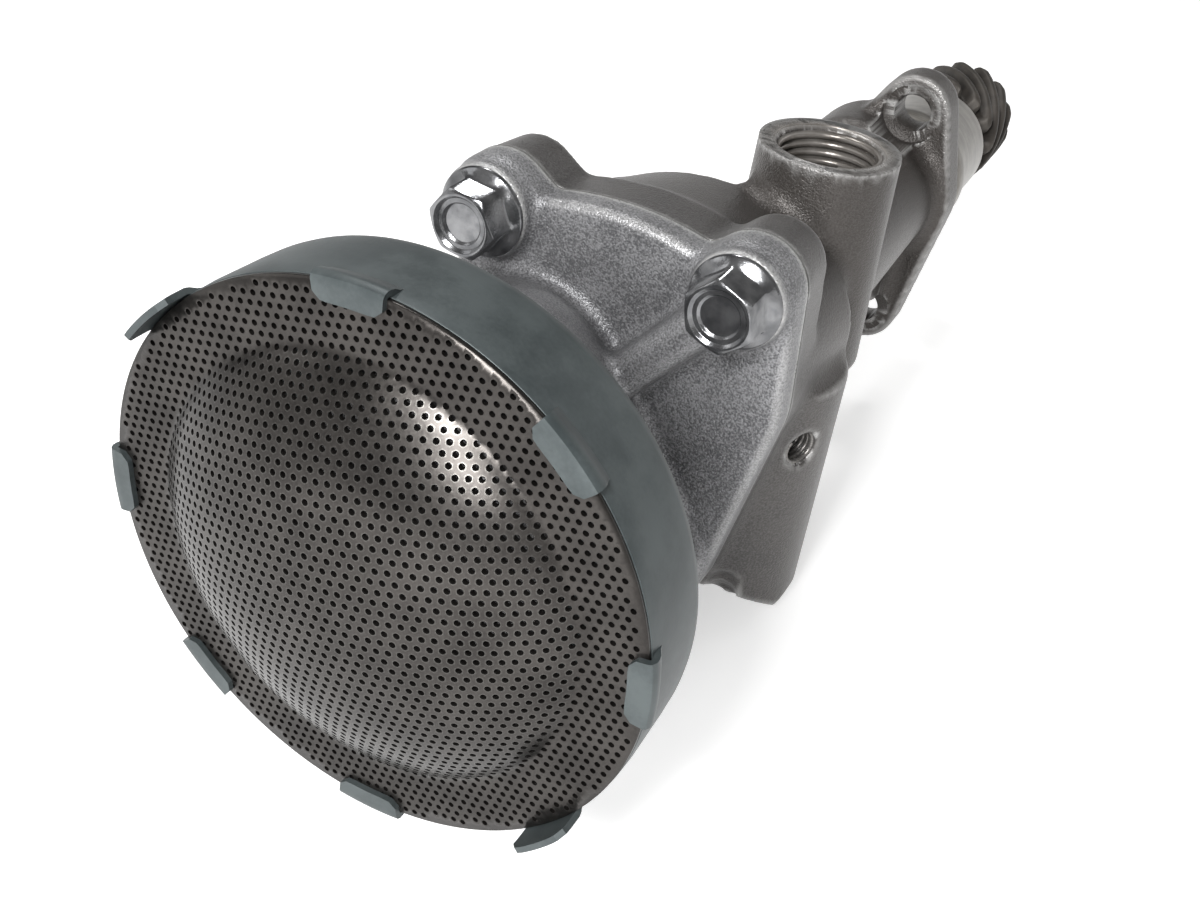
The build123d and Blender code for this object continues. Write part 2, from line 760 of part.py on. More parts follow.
def relief_plug_washer():
    inner = plug_radius + thread_clearance
    start_x = relief_mouth_x - washer_thickness
    ring = crossbar(relief_y, relief_z, inner + washer_wall, start_x, relief_mouth_x)
    return ring - crossbar(relief_y, relief_z, inner, start_x, relief_mouth_x)


def cover_bolt(x, z):
    """Flange-head hexagon bolt with a dished top."""
    flange_y = seat_y - bolt_flange_height
    top_y = flange_y - bolt_hex_height
    corner = bolt_hex_flats / 3**0.5
    head = prism(hexagon(bolt_hex_flats), top_y, flange_y)
    rounded = turned(
        Polygon(
            (0, top_y),
            (bolt_hex_flats / 2, top_y),
            (corner + 0.1, top_y + corner - bolt_hex_flats / 2),
            (corner + 0.1, flange_y),
            (0, flange_y),
            align=None,
        )
    )
    head = head & rounded
    head -= rod(0, 0, bolt_recess_radius, top_y, top_y + bolt_recess_depth)
    flange = cone(0, 0, bolt_flange_radius - 1, bolt_flange_radius, flange_y, seat_y)
    shank = rod(0, 0, bolt_radius, seat_y, joint_y + bolt_depth)
    return Pos(x, 0, z) * (head + flange + shank)


def dowel_pin(x, z):
    return rod(x, z, dowel_radius, gasket_y - dowel_reach / 2, joint_y + dowel_reach)


def build():
    """Every piece of the pump, by the name of its file."""
    return {
        "strainer_screen": strainer_screen(),
        "strainer_cup": strainer_cup(),
        "cup_retaining_ring": cup_retaining_ring(),
        "pump_cover": pump_cover(),
        "cover_gasket": cover_gasket(),
        "cover_bolts": Compound(children=[cover_bolt(x, z) for x, z in cover_bolt_places]),
        "dowel_pins": Compound(children=[dowel_pin(x, z) for x, z in dowel_places]),
        "pump_body": pump_body(),
        "lower_bush": lower_bush(),
        "upper_bush": upper_bush(),
        "drive_shaft": drive_shaft(),
        "drive_gear": drive_gear(),
        "drive_gear_key": key_block(),
        "driven_shaft": driven_shaft(),
        "driven_gear": driven_gear(),
        "driven_gear_bush": driven_gear_bush(),
        "pinion": pinion(),
        "pinion_pin": pinion_pin(),
        "thrust_washer": thrust_washer(),
        "relief_plunger": relief_plunger(),
        "relief_spring": relief_spring(),
        "relief_plug": relief_plug(),
        "relief_plug_washer": relief_plug_washer(),
    }


os.makedirs("parts", exist_ok=True)
for name, piece in build().items():
    export_step(piece, f"parts/{name}.step")
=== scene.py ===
import math

import bmesh
import bpy
import numpy as np
from mathutils import Matrix, Vector


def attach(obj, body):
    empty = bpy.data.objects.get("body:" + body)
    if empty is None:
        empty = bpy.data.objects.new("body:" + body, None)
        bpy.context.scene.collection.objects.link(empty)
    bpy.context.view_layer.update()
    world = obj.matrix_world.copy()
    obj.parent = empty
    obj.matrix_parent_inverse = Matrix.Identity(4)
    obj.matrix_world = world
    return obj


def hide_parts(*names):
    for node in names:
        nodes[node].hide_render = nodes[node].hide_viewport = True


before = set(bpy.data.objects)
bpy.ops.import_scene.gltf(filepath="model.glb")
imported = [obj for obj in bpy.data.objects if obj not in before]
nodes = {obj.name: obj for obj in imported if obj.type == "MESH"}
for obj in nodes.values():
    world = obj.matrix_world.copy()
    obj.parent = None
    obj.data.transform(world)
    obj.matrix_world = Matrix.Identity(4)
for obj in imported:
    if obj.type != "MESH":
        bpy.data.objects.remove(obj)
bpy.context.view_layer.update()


# The table and the studio round it: a plain white sheet under the pump, soft lamps and the camera.
# The sheet and the world are white wherever the camera sees them, straight or mirrored in metal.


class Signal:
    """A socket of a node board; arithmetic on it adds Math nodes."""

    def __init__(self, board, socket):
        self.board = board
        self.socket = socket

    def other(self, name):
        """Another output of the same node."""
        return Signal(self.board, self.socket.node.outputs[name])

    def __add__(self, value):
        return self.board.maths("ADD", self, value)

    def __radd__(self, value):
        return self.board.maths("ADD", value, self)

    def __sub__(self, value):
        return self.board.maths("SUBTRACT", self, value)

    def __rsub__(self, value):
        return self.board.maths("SUBTRACT", value, self)

    def __mul__(self, value):
        return self.board.maths("MULTIPLY", self, value)

    def __rmul__(self, value):
        return self.board.maths("MULTIPLY", value, self)

    def __truediv__(self, value):
        return self.board.maths("DIVIDE", self, value)

    def __pow__(self, value):
        return self.board.maths("POWER", self, value)


class Board:
    """A node tree being wired up."""

    def __init__(self, tree):
        self.tree = tree

    def node(self, kind, settings=None, inputs=None, output=0):
        made = self.tree.nodes.new(kind)
        for name, value in (settings or {}).items():
            setattr(made, name, value)
        for key, value in (inputs or {}).items():
            if isinstance(value, Signal):
                self.tree.links.new(value.socket, made.inputs[key])
            else:
                made.inputs[key].default_value = value
        return Signal(self, made.outputs[output]) if len(made.outputs) else made

    def maths(self, operation, first, second=0.0):
        return self.node("ShaderNodeMath", {"operation": operation}, {0: first, 1: second})

    def ease(self, value, low, high):
        """Smooth step from 0 at low to 1 at high."""
        ends = {"Value": value, "From Min": low, "From Max": high}
        return self.node("ShaderNodeMapRange", {"interpolation_type": "SMOOTHSTEP"}, ends)

    def blend(self, share, first, second):
        """Colour between two colours."""
        return self.node("ShaderNodeMix", {"data_type": "RGBA"}, {0: share, 6: first, 7: second}, 2)


class Finish(Board):
    """A material on the Principled shader. Numbers that don't vary sit on the shader's own sockets."""

    def __init__(self, name, **constants):
        self.material = bpy.data.materials.new(name)
        self.material.use_nodes = True
        super().__init__(self.material.node_tree)
        self.shader = self.tree.nodes["Principled BSDF"]
        for socket, value in constants.items():
            self.shader.inputs[socket.replace("_", " ").title()].default_value = value

    def feed(self, socket, value):
        self.tree.links.new(value.socket, self.shader.inputs[socket])

    def spot(self):
        """Place on the piece, in metres."""
        return self.node("ShaderNodeTexCoord", output="Object")

    def grain(self, size, detail=2.0, stretch=(1, 1, 1)):
        """Noise whose grains are so many millimetres across, 0 to 1."""
        place = self.node("ShaderNodeMapping", inputs={"Vector": self.spot(), "Scale": stretch})
        sizes = {"Vector": place, "Scale": 1000 / size, "Detail": detail}
        return self.node("ShaderNodeTexNoise", inputs=sizes)

    def mark(self, name):
        """A number stored on the mesh."""
        return self.node("ShaderNodeAttribute", {"attribute_name": name}, output="Fac")

    def relief(self, height, depth, strength=1.0):
        """Bump whose full height is depth, in millimetres."""
        sizes = {"Height": height, "Distance": depth / 1000, "Strength": strength}
        self.feed("Normal", self.node("ShaderNodeBump", inputs=sizes))


sheet_z = -0.0600
sheet_reach = 1.6
sheet_curve = 0.45
sheet_height = 0.5
sheet_sides = 96
sheet_bend_steps = 8
sheet_centre_y = -0.08
sheet_profile = [(sheet_reach - sheet_curve, 0.0)]
for step in range(1, sheet_bend_steps + 1):
    angle = math.pi / 2 * step / sheet_bend_steps
    reach = sheet_reach - sheet_curve * (1 - math.sin(angle))
    sheet_profile.append((reach, sheet_curve * (1 - math.cos(angle))))
sheet_profile.append((sheet_reach, sheet_height))
sheet_skin = bmesh.new()
rings = []
turns = [2 * math.pi * i / sheet_sides for i in range(sheet_sides)]
for reach, height in sheet_profile:
    ring = [(reach * math.cos(a), reach * math.sin(a) + sheet_centre_y, sheet_z + height) for a in turns]
    rings.append([sheet_skin.verts.new(point) for point in ring])
sheet_skin.faces.new(rings[0])
for low, high in zip(rings, rings[1:]):
    for i in range(sheet_sides):
        j = (i + 1) % sheet_sides
        sheet_skin.faces.new((low[j], low[i], high[i], high[j]))
sheet_mesh = bpy.data.meshes.new("table_sheet")
sheet_skin.to_mesh(sheet_mesh)
sheet_skin.free()
sheet_mesh.polygons.foreach_set("use_smooth", np.ones(len(sheet_mesh.polygons), bool))
table_sheet = bpy.data.objects.new("table_sheet", sheet_mesh)
bpy.context.scene.collection.objects.link(table_sheet)
paper = Finish("white_paper", base_color=(0.84, 0.84, 0.84, 1), roughness=0.9)
rays = paper.node("ShaderNodeLightPath", output="Is Camera Ray")
mirrored = paper.maths("MAXIMUM", rays.other("Is Glossy Ray"), rays.other("Is Transmission Ray"))
seen = paper.maths("MAXIMUM", rays, mirrored)
sheet_glow = 0.55
glow = paper.node("ShaderNodeEmission", inputs={"Color": (1, 1, 1, 1), "Strength": sheet_glow})
dark = paper.node("ShaderNodeEmission", inputs={"Color": (0, 0, 0, 1), "Strength": 0.0})
shown = paper.node("ShaderNodeMixShader", inputs={0: seen, 1: dark, 2: glow})
lit = paper.node("ShaderNodeAddShader", inputs={0: Signal(paper, paper.shader.outputs[0]), 1: shown})
paper.tree.links.new(lit.socket, paper.tree.nodes["Material Output"].inputs["Surface"])
sheet_mesh.materials.append(paper.material)

world = bpy.data.worlds.new("studio")
world.use_nodes = True
bpy.context.scene.world = world
backdrop = world.node_tree.nodes["Background"]
backdrop.inputs["Color"].default_value = (1.0, 0.985, 0.96, 1)
backdrop.inputs["Strength"].default_value = 0.15

# Each lamp has its place, width in metres and power in watts.
lamps = {
    "key_lamp": ((0.02, -0.70, 0.45), 0.14, 5.2),
    "front_lamp": ((0.106, -0.74, 0.24), 0.12, 2.2),
    "crown_lamp": ((-0.35, 0.10, 0.75), 0.12, 2.4),
    "left_lamp": ((-0.70, -0.45, 0.40), 0.30, 0.6),
    "back_lamp": ((0.45, 0.65, 0.50), 0.30, 0.7),
}
lamp_target = Vector((0, sheet_centre_y, 0))
for name, (place, width, power) in lamps.items():
    light = bpy.data.lights.new(name, "AREA")
    light.size = width
    light.energy = power
    lamp = bpy.data.objects.new(name, light)
    aim = lamp_target - Vector(place)
    lamp.matrix_world = Matrix.Translation(place) @ aim.to_track_quat("-Z", "Y").to_matrix().to_4x4()
    bpy.context.scene.collection.objects.link(lamp)

camera_data = bpy.data.cameras.new("camera")
camera_data.lens = 40.5
camera_data.sensor_width = 36.0
camera_data.clip_start = 0.01
camera = bpy.data.objects.new("camera", camera_data)
camera_place = (0.0711, -0.3182, 0.1255)
right, up, back = (0.8736, 0.4705, 0.1244), (-0.3594, 0.4514, 0.8168), (0.3281, -0.7582, 0.5634)
turn = Matrix((right, up, back)).transposed().to_quaternion().to_matrix().to_4x4()
camera.matrix_world = Matrix.Translation(camera_place) @ turn
bpy.context.scene.collection.objects.link(camera)
bpy.context.scene.camera = camera
bpy.context.scene.view_settings.view_transform = "Standard"


# Pump body: one sand-cast aluminium piece with the gear case, sleeve, outlet port and flange.
# The mould leaves soft blends in every corner; the edges that stand out are painted lighter, partly as
# handling wear and partly as painted highlight, and the corners get painted shade.


def voxel_skin(mesh, size):
    """The same shape as one even grid of faces, size in millimetres."""
    blank = bpy.data.objects.new("blank", mesh)
    bpy.context.scene.collection.objects.link(blank)
    grid = blank.modifiers.new("grid", "REMESH")
    grid.mode = "VOXEL"
    grid.voxel_size = size / 1000
    bpy.context.view_layer.update()
    skin = bpy.data.meshes.new_from_object(blank.evaluated_get(bpy.context.evaluated_depsgraph_get()))
    bpy.data.objects.remove(blank)
    return skin


def points_of(mesh):
    values = np.zeros(len(mesh.vertices) * 3)
    mesh.vertices.foreach_get("co", values)
    return values.reshape(-1, 3)


def normals_of(mesh):
    values = np.zeros(len(mesh.vertices) * 3, np.float32)
    mesh.vertex_normals.foreach_get("vector", values)
    return values.reshape(-1, 3).astype(float)


def move_points(mesh, points):
    mesh.vertices.foreach_set("co", points.astype(np.float32).ravel())
    mesh.update()


def edges_of(mesh):
    ends = np.zeros(len(mesh.edges) * 2, np.int64)
    mesh.edges.foreach_get("vertices", ends)
    return ends.reshape(-1, 2).T


def spread(values, ends, count):
    """Mean of each point's neighbours."""
    first, second = ends
    many = np.bincount(first, minlength=count) + np.bincount(second, minlength=count)
    many = np.maximum(many, 1)
    columns = values.reshape(count, -1)
    means = []
    for column in columns.T:
        total = np.bincount(first, column[second], count) + np.bincount(second, column[first], count)
        means.append(total / many)
    return np.stack(means, 1).reshape(values.shape)


def relax(mesh, rounds):
    """Takes the grid's steps out of a skin without shrinking it."""
    points, ends = points_of(mesh), edges_of(mesh)
    for _ in range(rounds):
        for share in (0.5, -0.53):
            points = points + share * (spread(points, ends, len(points)) - points)
    move_points(mesh, points)


def swell(mesh, distance):
    """Moves a skin outwards by so many millimetres."""
    move_points(mesh, points_of(mesh) + normals_of(mesh) * distance / 1000)


def weld_copy(name):
    """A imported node's mesh, copied and made one closed skin."""
    mesh = nodes[name].data.copy()
    mesh.materials.clear()
    skin = bmesh.new()
    skin.from_mesh(mesh)
    bmesh.ops.remove_doubles(skin, verts=skin.verts, dist=2e-6)
    skin.to_mesh(mesh)
    skin.free()
    return mesh


def mark_edges_and_hollows(mesh):
    """Stores how far each point stands on an edge, and how deep it lies in a corner.

    The bend is one over a radius in metres: an edge starts at 10 mm and is full at about 1.7 mm.
    """
    points, normals, ends = points_of(mesh), normals_of(mesh), edges_of(mesh)
    first, second = ends
    way = points[second] - points[first]
    square = np.maximum(np.einsum("ij,ij->i", way, way), 1e-12)
    bend = np.einsum("ij,ij->i", normals[second] - normals[first], way) / square
    count = len(points)
    many = np.maximum(np.bincount(first, minlength=count) + np.bincount(second, minlength=count), 1)
    curve = (np.bincount(first, bend, count) + np.bincount(second, bend, count)) / many
    for _ in range(2):
        curve = 0.5 * curve + 0.5 * spread(curve, ends, count)
    edge_start, edge_span = 100, 500
    hollow_start, hollow_span = 60, 300
    edge = np.clip((curve - edge_start) / edge_span, 0, 1)
    hollow = np.clip((-curve - hollow_start) / hollow_span, 0, 1)
    for name, values in (("edge", edge), ("hollow", hollow)):
        mesh.attributes.new(name, "FLOAT", "POINT").data.foreach_set("value", values.astype(np.float32))


def thin_out(mesh, triangles):
    """Brings a skin down to so many triangles, fewest where it is flat."""
    blank = bpy.data.objects.new("blank", mesh)
    bpy.context.scene.collection.objects.link(blank)
    fewer = blank.modifiers.new("fewer", "DECIMATE")
    fewer.ratio = min(1.0, triangles / (2 * len(mesh.polygons)))
    fewer.use_collapse_triangulate = True
    bpy.context.view_layer.update()
    skin = bpy.data.meshes.new_from_object(blank.evaluated_get(bpy.context.evaluated_depsgraph_get()))
    bpy.data.objects.remove(blank)
    return skin


def face_off(mesh, place, outward):
    """Cuts a skin flat, as a milling cutter does, at a place in metres, and closes it there."""
    skin = bmesh.new()
    skin.from_mesh(mesh)
    everything = skin.verts[:] + skin.edges[:] + skin.faces[:]
    cut = bmesh.ops.bisect_plane(skin, geom=everything, plane_co=place, plane_no=outward, clear_outer=True)
    rim = [e for e in cut["geom_cut"] if isinstance(e, bmesh.types.BMEdge)]
    bmesh.ops.triangle_fill(skin, edges=rim, use_beauty=False, normal=outward)
    bmesh.ops.recalc_face_normals(skin, faces=skin.faces)
    skin.to_mesh(mesh)
    skin.free()


def draw_out(mesh, chosen, shift):
    """Moves chosen points by so many millimetres, to leave stock for a cut."""
    points = points_of(mesh)
    points[chosen(points * 1000)] += np.array(shift) / 1000
    move_points(mesh, points)


def cast_skin(mesh, corner, grid, triangles):
    """Rounds a machined solid as a mould does: corners filled to a radius, edges softened."""
    skin = voxel_skin(mesh, grid)
    relax(skin, 2)
    swell(skin, corner)
    skin = voxel_skin(skin, grid)
    relax(skin, 2)
    swell(skin, -corner)
    skin = voxel_skin(skin, grid)
    relax(skin, 5)
    return thin_out(skin, triangles)


def round_bit(start, way, profile):
    """Turned cutter for holes: profile is (distance along its way, radius), in millimetres."""
    sides = 64
    turns = [2 * math.pi * i / sides for i in range(sides)]
    place = Matrix.Translation(Vector(start)) @ Vector(way).to_track_quat("Z", "Y").to_matrix().to_4x4()
    points = [place @ Vector((r * math.cos(a), r * math.sin(a), d)) for d, r in profile for a in turns]
    last = len(points) - sides
    faces = [tuple(range(sides))[::-1], tuple(last + i for i in range(sides))]
    for low in range(0, last, sides):
        high = low + sides
        faces += [(low + i, low + (i + 1) % sides, high + (i + 1) % sides, high + i) for i in range(sides)]
    bit = bpy.data.meshes.new("bit")
    bit.from_pydata([tuple(p / 1000) for p in points], [], faces)
    return bit


def drill(mesh, *bits):
    """Cuts closed meshes out of a closed mesh."""
    block = bpy.data.objects.new("block", mesh)
    bpy.context.scene.collection.objects.link(block)
    for mesh_bit in bits:
        bit = bpy.data.objects.new("bit", mesh_bit)
        bpy.context.scene.collection.objects.link(bit)
        cut = block.modifiers.new("cut", "BOOLEAN")
        cut.object = bit
        cut.solver = "MANIFOLD"
    bpy.context.view_layer.update()
    made = bpy.data.meshes.new_from_object(block.evaluated_get(bpy.context.evaluated_depsgraph_get()))
    for cut in block.modifiers:
        bpy.data.objects.remove(cut.object)
    bpy.data.objects.remove(block)
    return made


def add_piece(name, mesh, finish, body, slot, *replaced):
    """Puts a finished mesh in the scene, on a body of the pump."""
    mesh.name = name
    mesh.materials.clear()
    mesh.materials.append(finish.material)
    mesh.polygons.foreach_set("use_smooth", np.ones(len(mesh.polygons), bool))
    piece = bpy.data.objects.new(name, mesh)
    bpy.context.scene.collection.objects.link(piece)
    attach(piece, body)
    if replaced:
        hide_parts(*replaced)
    return piece


def mark_faced(mesh, *cuts):
    """Stores where a cutter has been: cuts are (axis, place) in millimetres."""
    points, normals = points_of(mesh) * 1000, normals_of(mesh)
    faced = np.zeros(len(points))
    for axis, place in cuts:
        near = abs(points[:, axis] - place) < 0.06
        square_on = abs(normals[:, axis]) > 0.8
        faced[near & square_on] = 1.0
    mesh.attributes.new("faced", "FLOAT", "POINT").data.foreach_set("value", faced.astype(np.float32))


def cast_aluminium(name, dark, light, brown_start, brown_end):
    """Sand-cast skin: fine sparkling grain, edges lighter as wear and painted highlight, painted shade in
    hollow corners, and darker brown towards the pinion's end.
    """
    cast = Finish(name, metallic=0.4, roughness=0.38)
    fine, blotch, pits = cast.grain(0.38, 2.0), cast.grain(9.0, 3.0), cast.grain(1.1, 2.0)
    edge, hollow, faced = cast.mark("edge"), cast.mark("hollow"), cast.mark("faced")
    tone = cast.ease(fine * 0.75 + blotch * 0.25, 0.36, 0.66)
    colour = cast.blend(tone, dark, light)
    along = cast.node("ShaderNodeSeparateXYZ", inputs={0: cast.spot()}).other("Y")
    # The colour turns darker brown towards the pinion's end, by place along y.
    brown_share = cast.ease(along + blotch * 0.03, brown_start, brown_end)
    dark_brown, edge_wear_and_highlight = (0.045, 0.037, 0.031, 1), (0.60, 0.595, 0.585, 1)
    # Painted shade in hollow corners: the colour is pulled towards a darker copy of the dark tone there.
    painted_corner_shade = tuple(c * 0.5 for c in dark[:3]) + (1,)
    colour = cast.blend(brown_share * 0.75, colour, dark_brown)
    colour = cast.blend(hollow * 0.15, colour, painted_corner_shade)
    # Edges that stand out get a pale colour, partly handling wear and partly painted highlight.
    colour = cast.blend(edge * 0.6, colour, edge_wear_and_highlight)
    milled = cast.blend(cast.grain(2.5), (0.26, 0.245, 0.23, 1), (0.38, 0.365, 0.35, 1))
    cast.feed("Base Color", cast.blend(faced, colour, milled))
    cast.feed("Roughness", (0.25 + fine * 0.2 - edge * 0.06 + hollow * 0.05) * (1 - faced * 0.2))
    cast.relief((fine * 0.75 + pits * 0.25) * (1 - faced * 0.9), 0.25, 1.0)
    return cast


brown_start_y, brown_end_y = -0.135, -0.06
body_dark, body_light = (0.06, 0.059, 0.06, 1), (0.16, 0.158, 0.158, 1)
body_cast = cast_aluminium("body_cast_aluminium", body_dark, body_light, brown_start_y, brown_end_y)
body_corner = 2.6
body_grid = 0.6
body_triangles = 180000
joint_y = -116.0
port_top = 31.8
nose_end_y = 33.9
nose_room = 0.4
milling_stock = 2.0
body_stock = weld_copy("pump_body")
draw_out(body_stock, lambda p: abs(p[:, 1] - joint_y) < 0.02, (0, -milling_stock, 0))
draw_out(body_stock, lambda p: abs(p[:, 2] - port_top) < 0.02, (0, 0, milling_stock))
draw_out(body_stock, lambda p: p[:, 1] > nose_end_y, (0, -nose_room, 0))
# The pilot and nose shrink a little, so that the turned skin over them lies outside.
nose_points = points_of(body_stock)
turned_part = (nose_points[:, 1] > 0.0002) & (np.hypot(nose_points[:, 0], nose_points[:, 2]) > 0.0135)
nose_points[turned_part] *= (0.975, 1, 0.975)
move_points(body_stock, nose_points)
body_mesh = cast_skin(body_stock, body_corner, body_grid, body_triangles)
face_off(body_mesh, (0, joint_y / 1000, 0), (0, -1, 0))
face_off(body_mesh, (0, 0, port_top / 1000), (0, 0, 1))

# Holes as (distance along the cutter, radius): the port, the side hole, and the flange's bolt holes.
port_x, port_y, port_floor = 3.0, -72.0, 13.8
port_hole = [(0, 10.2), (17.0, 10.2), (18.0, 11.2), (21.0, 14.2)]
side_hole_turn = math.radians(30.0)
side_hole_way = Vector((math.cos(side_hole_turn), -math.sin(side_hole_turn), 0))
side_hole_start = Vector((5.5, -95.8, -15.0)) + side_hole_way * 9.3
side_hole = [(0, 3.4), (7.2, 3.4), (8.0, 4.2), (12.0, 8.2)]
flange_places = [(3.0, -24.0, 21.0), (3.0, -24.0, -30.0)]
flange_hole = [(0, 7.0), (14.7, 7.0), (15.0, 6.7), (15.0, 4.25), (28.0, 4.25)]
body_mesh = drill(
    body_mesh,
    round_bit((port_x, port_y, port_floor), (0, 0, 1), port_hole),
    round_bit(side_hole_start, side_hole_way, side_hole),
    *[round_bit(place, (0, 1, 0), flange_hole) for place in flange_places],
)
mark_edges_and_hollows(body_mesh)
mark_faced(body_mesh, (1, joint_y), (2, port_top), (1, 0.0))
add_piece("body_casting", body_mesh, body_cast, "pump", "cast_aluminium", "pump_body")


# Cover: die-cast aluminium, closing the gears in, with four bolt bosses, a slanting rib and the neck.
# It is milled flat at the joint, and its bosses are spot-faced for the bolts.
cover_corner = 1.1
rib_radius = 3.9
rib_start = Vector((6.0, -125.6, 19.0))
rib_end = Vector((-15.0, -127.0, -6.0))
cover_back_y = -116.5
boss_face_y = -125.5
cover_stock = weld_copy("pump_cover")
draw_out(cover_stock, lambda p: abs(p[:, 1] - cover_back_y) < 0.02, (0, milling_stock, 0))
rib_way = rib_end - rib_start
rib_bar = round_bit(rib_start, rib_way, [(0, rib_radius), (rib_way.length, rib_radius)])
with_rib = bmesh.new()
with_rib.from_mesh(cover_stock)
with_rib.from_mesh(rib_bar)
with_rib.to_mesh(cover_stock)
with_rib.free()
cover_mesh = cast_skin(cover_stock, cover_corner, body_grid, body_triangles)
face_off(cover_mesh, (0, cover_back_y / 1000, 0), (0, 1, 0))
mark_edges_and_hollows(cover_mesh)
mark_faced(cover_mesh, (1, cover_back_y), (1, boss_face_y))
# The cover's aluminium is lighter than the body's: painted light for the plate that faces the lamps.
cover_dark_painted_lighter, cover_light_painted_lighter = (0.12, 0.12, 0.125, 1), (0.31, 0.31, 0.318, 1)
cover_cast_painted_lighter = cast_aluminium("cover_cast_aluminium", cover_dark_painted_lighter, cover_light_painted_lighter, -0.09, -0.03)
add_piece("cover_casting", cover_mesh, cover_cast_painted_lighter, "pump", "cast_aluminium", "pump_cover")


# Cover bolts: four zinc-plated flange bolts with hexagon heads, their tops pressed to a stepped dish.
# One head is modelled and put on every boss, each turned its own way as it came to rest.


class Pattern(Board):
    """A geometry tree that repeats a piece, with named sizes."""

    def __init__(self, name):
        super().__init__(bpy.data.node_groups.new(name, "GeometryNodeTree"))
        self.tree.interface.new_socket("Geometry", in_out="INPUT", socket_type="NodeSocketGeometry")
        self.tree.interface.new_socket("Geometry", in_out="OUTPUT", socket_type="NodeSocketGeometry")
        self.entry = self.tree.nodes.new("NodeGroupInput")
        self.way_out = self.tree.nodes.new("NodeGroupOutput")
        self.values = {}

    def geometry(self):
        return Signal(self, self.entry.outputs["Geometry"])

    def size(self, name, value, kind="Float"):
        item = self.tree.interface.new_socket(name, in_out="INPUT", socket_type="NodeSocket" + kind)
        self.values[item.identifier] = value
        return Signal(self, self.entry.outputs[name])

    def grow(self, start, last, finish):
        """Runs the tree on a mesh and returns the plain mesh that it makes."""
        whole = self.node("GeometryNodeRealizeInstances", inputs={0: last})
        dressed = self.node("GeometryNodeSetMaterial", inputs={0: whole, "Material": finish.material})
        self.tree.links.new(dressed.socket, self.way_out.inputs[0])
        holder = bpy.data.objects.new("holder", start)
        modifier = holder.modifiers.new("pattern", "NODES")
        modifier.node_group = self.tree
        for identifier, value in self.values.items():
            modifier[identifier] = value
        bpy.context.scene.collection.objects.link(holder)
        bpy.context.view_layer.update()
        made = bpy.data.meshes.new_from_object(holder.evaluated_get(bpy.context.evaluated_depsgraph_get()))
        holder.modifiers.remove(modifier)
        bpy.data.objects.remove(holder)
        return made


def mesh_from(name, points, faces):
    """Mesh of points in millimetres."""
    mesh = bpy.data.meshes.new(name)
    mesh.from_pydata([tuple(c / 1000 for c in p) for p in points], [], faces)
    return mesh


def outward(mesh):
    """Merges doubled points and turns the faces outwards."""
    skin = bmesh.new()
    skin.from_mesh(mesh)
    bmesh.ops.remove_doubles(skin, verts=skin.verts, dist=1e-6)
    bmesh.ops.recalc_face_normals(skin, faces=skin.faces)
    skin.to_mesh(mesh)
    skin.free()
    return mesh


def template(mesh):
    """Object that a pattern copies; it's taken away after use."""
    piece = bpy.data.objects.new(mesh.name, mesh)
    bpy.context.scene.collection.objects.link(piece)
    return piece


def ring_stack(name, rings, hole=False):
    """Closed skin from rings of points, first to last, capped or joined into a ring."""
    count = len(rings[0])
    points = [p for ring in rings for p in ring]
    faces = []
    spans = len(rings) if hole else len(rings) - 1
    for r in range(spans):
        a, b = r * count, ((r + 1) % len(rings)) * count
        faces += [(a + i, a + (i + 1) % count, b + (i + 1) % count, b + i) for i in range(count)]
    if not hole:
        faces.append(tuple(range(count)))
        faces.append(tuple(len(points) - count + i for i in range(count)))
    return outward(mesh_from(name, points, faces))


bright_zinc = Finish("bolt_zinc", metallic=0.85, roughness=0.2)
zinc_fine, zinc_cloud = bright_zinc.grain(0.35), bright_zinc.grain(3.5, 3.0)
zinc_tone = bright_zinc.ease(zinc_cloud, 0.3, 0.7)
zinc_dark, zinc_light = (0.13, 0.132, 0.138, 1), (0.26, 0.262, 0.268, 1)
bright_zinc.feed("Base Color", bright_zinc.blend(zinc_tone, zinc_dark, zinc_light))
bright_zinc.feed("Roughness", 0.10 + zinc_fine * 0.08 + zinc_cloud * 0.10)
bright_zinc.relief(zinc_fine, 0.03, 0.6)

head_flats = 12.0
head_height = 6.0
head_flange = 8.5
head_flange_height = 1.6
dish_radius = 4.4
dish_depth = 1.2
seat_y = -125.5
head_steps = 72
head_top = head_flange_height + head_height


def hex_radius(angle, flats):
    """Distance to a hexagon's side, a little rounded at its corners."""
    turn = (angle + math.pi / 6) % (math.pi / 3) - math.pi / 6
    return min(flats / 2 / math.cos(turn), flats / 2 * 1.135)


def head_ring(reach, depth):
    """Ring of a bolt head; reach and depth are given by angle, depth from the seat."""
    angles = [2 * math.pi * i / head_steps for i in range(head_steps)]
    return [(reach(a) * math.sin(a), -depth(a), reach(a) * math.cos(a)) for a in angles]


def fixed(value):
    return lambda angle: value


def crown(angle):
    return head_top - 0.55 * max(0.0, hex_radius(angle, head_flats) - head_flats / 2 + 0.25)


def side(angle):
    return hex_radius(angle, head_flats)


head_rings = [
    head_ring(fixed(4.0), fixed(-0.4)),
    head_ring(fixed(head_flange), fixed(0.0)),
    head_ring(fixed(head_flange), fixed(0.35)),
    head_ring(fixed(head_flange - 0.3), fixed(0.65)),
    head_ring(fixed(head_flange - 1.3), fixed(head_flange_height - 0.35)),
    head_ring(lambda a: side(a) + 0.35, fixed(head_flange_height)),
    head_ring(side, fixed(head_flange_height + 0.4)),
    head_ring(side, lambda a: crown(a) - 0.15),
    head_ring(lambda a: side(a) - 0.15, crown),
    head_ring(fixed(head_flats / 2 - 0.25), fixed(head_top - 0.02)),
]
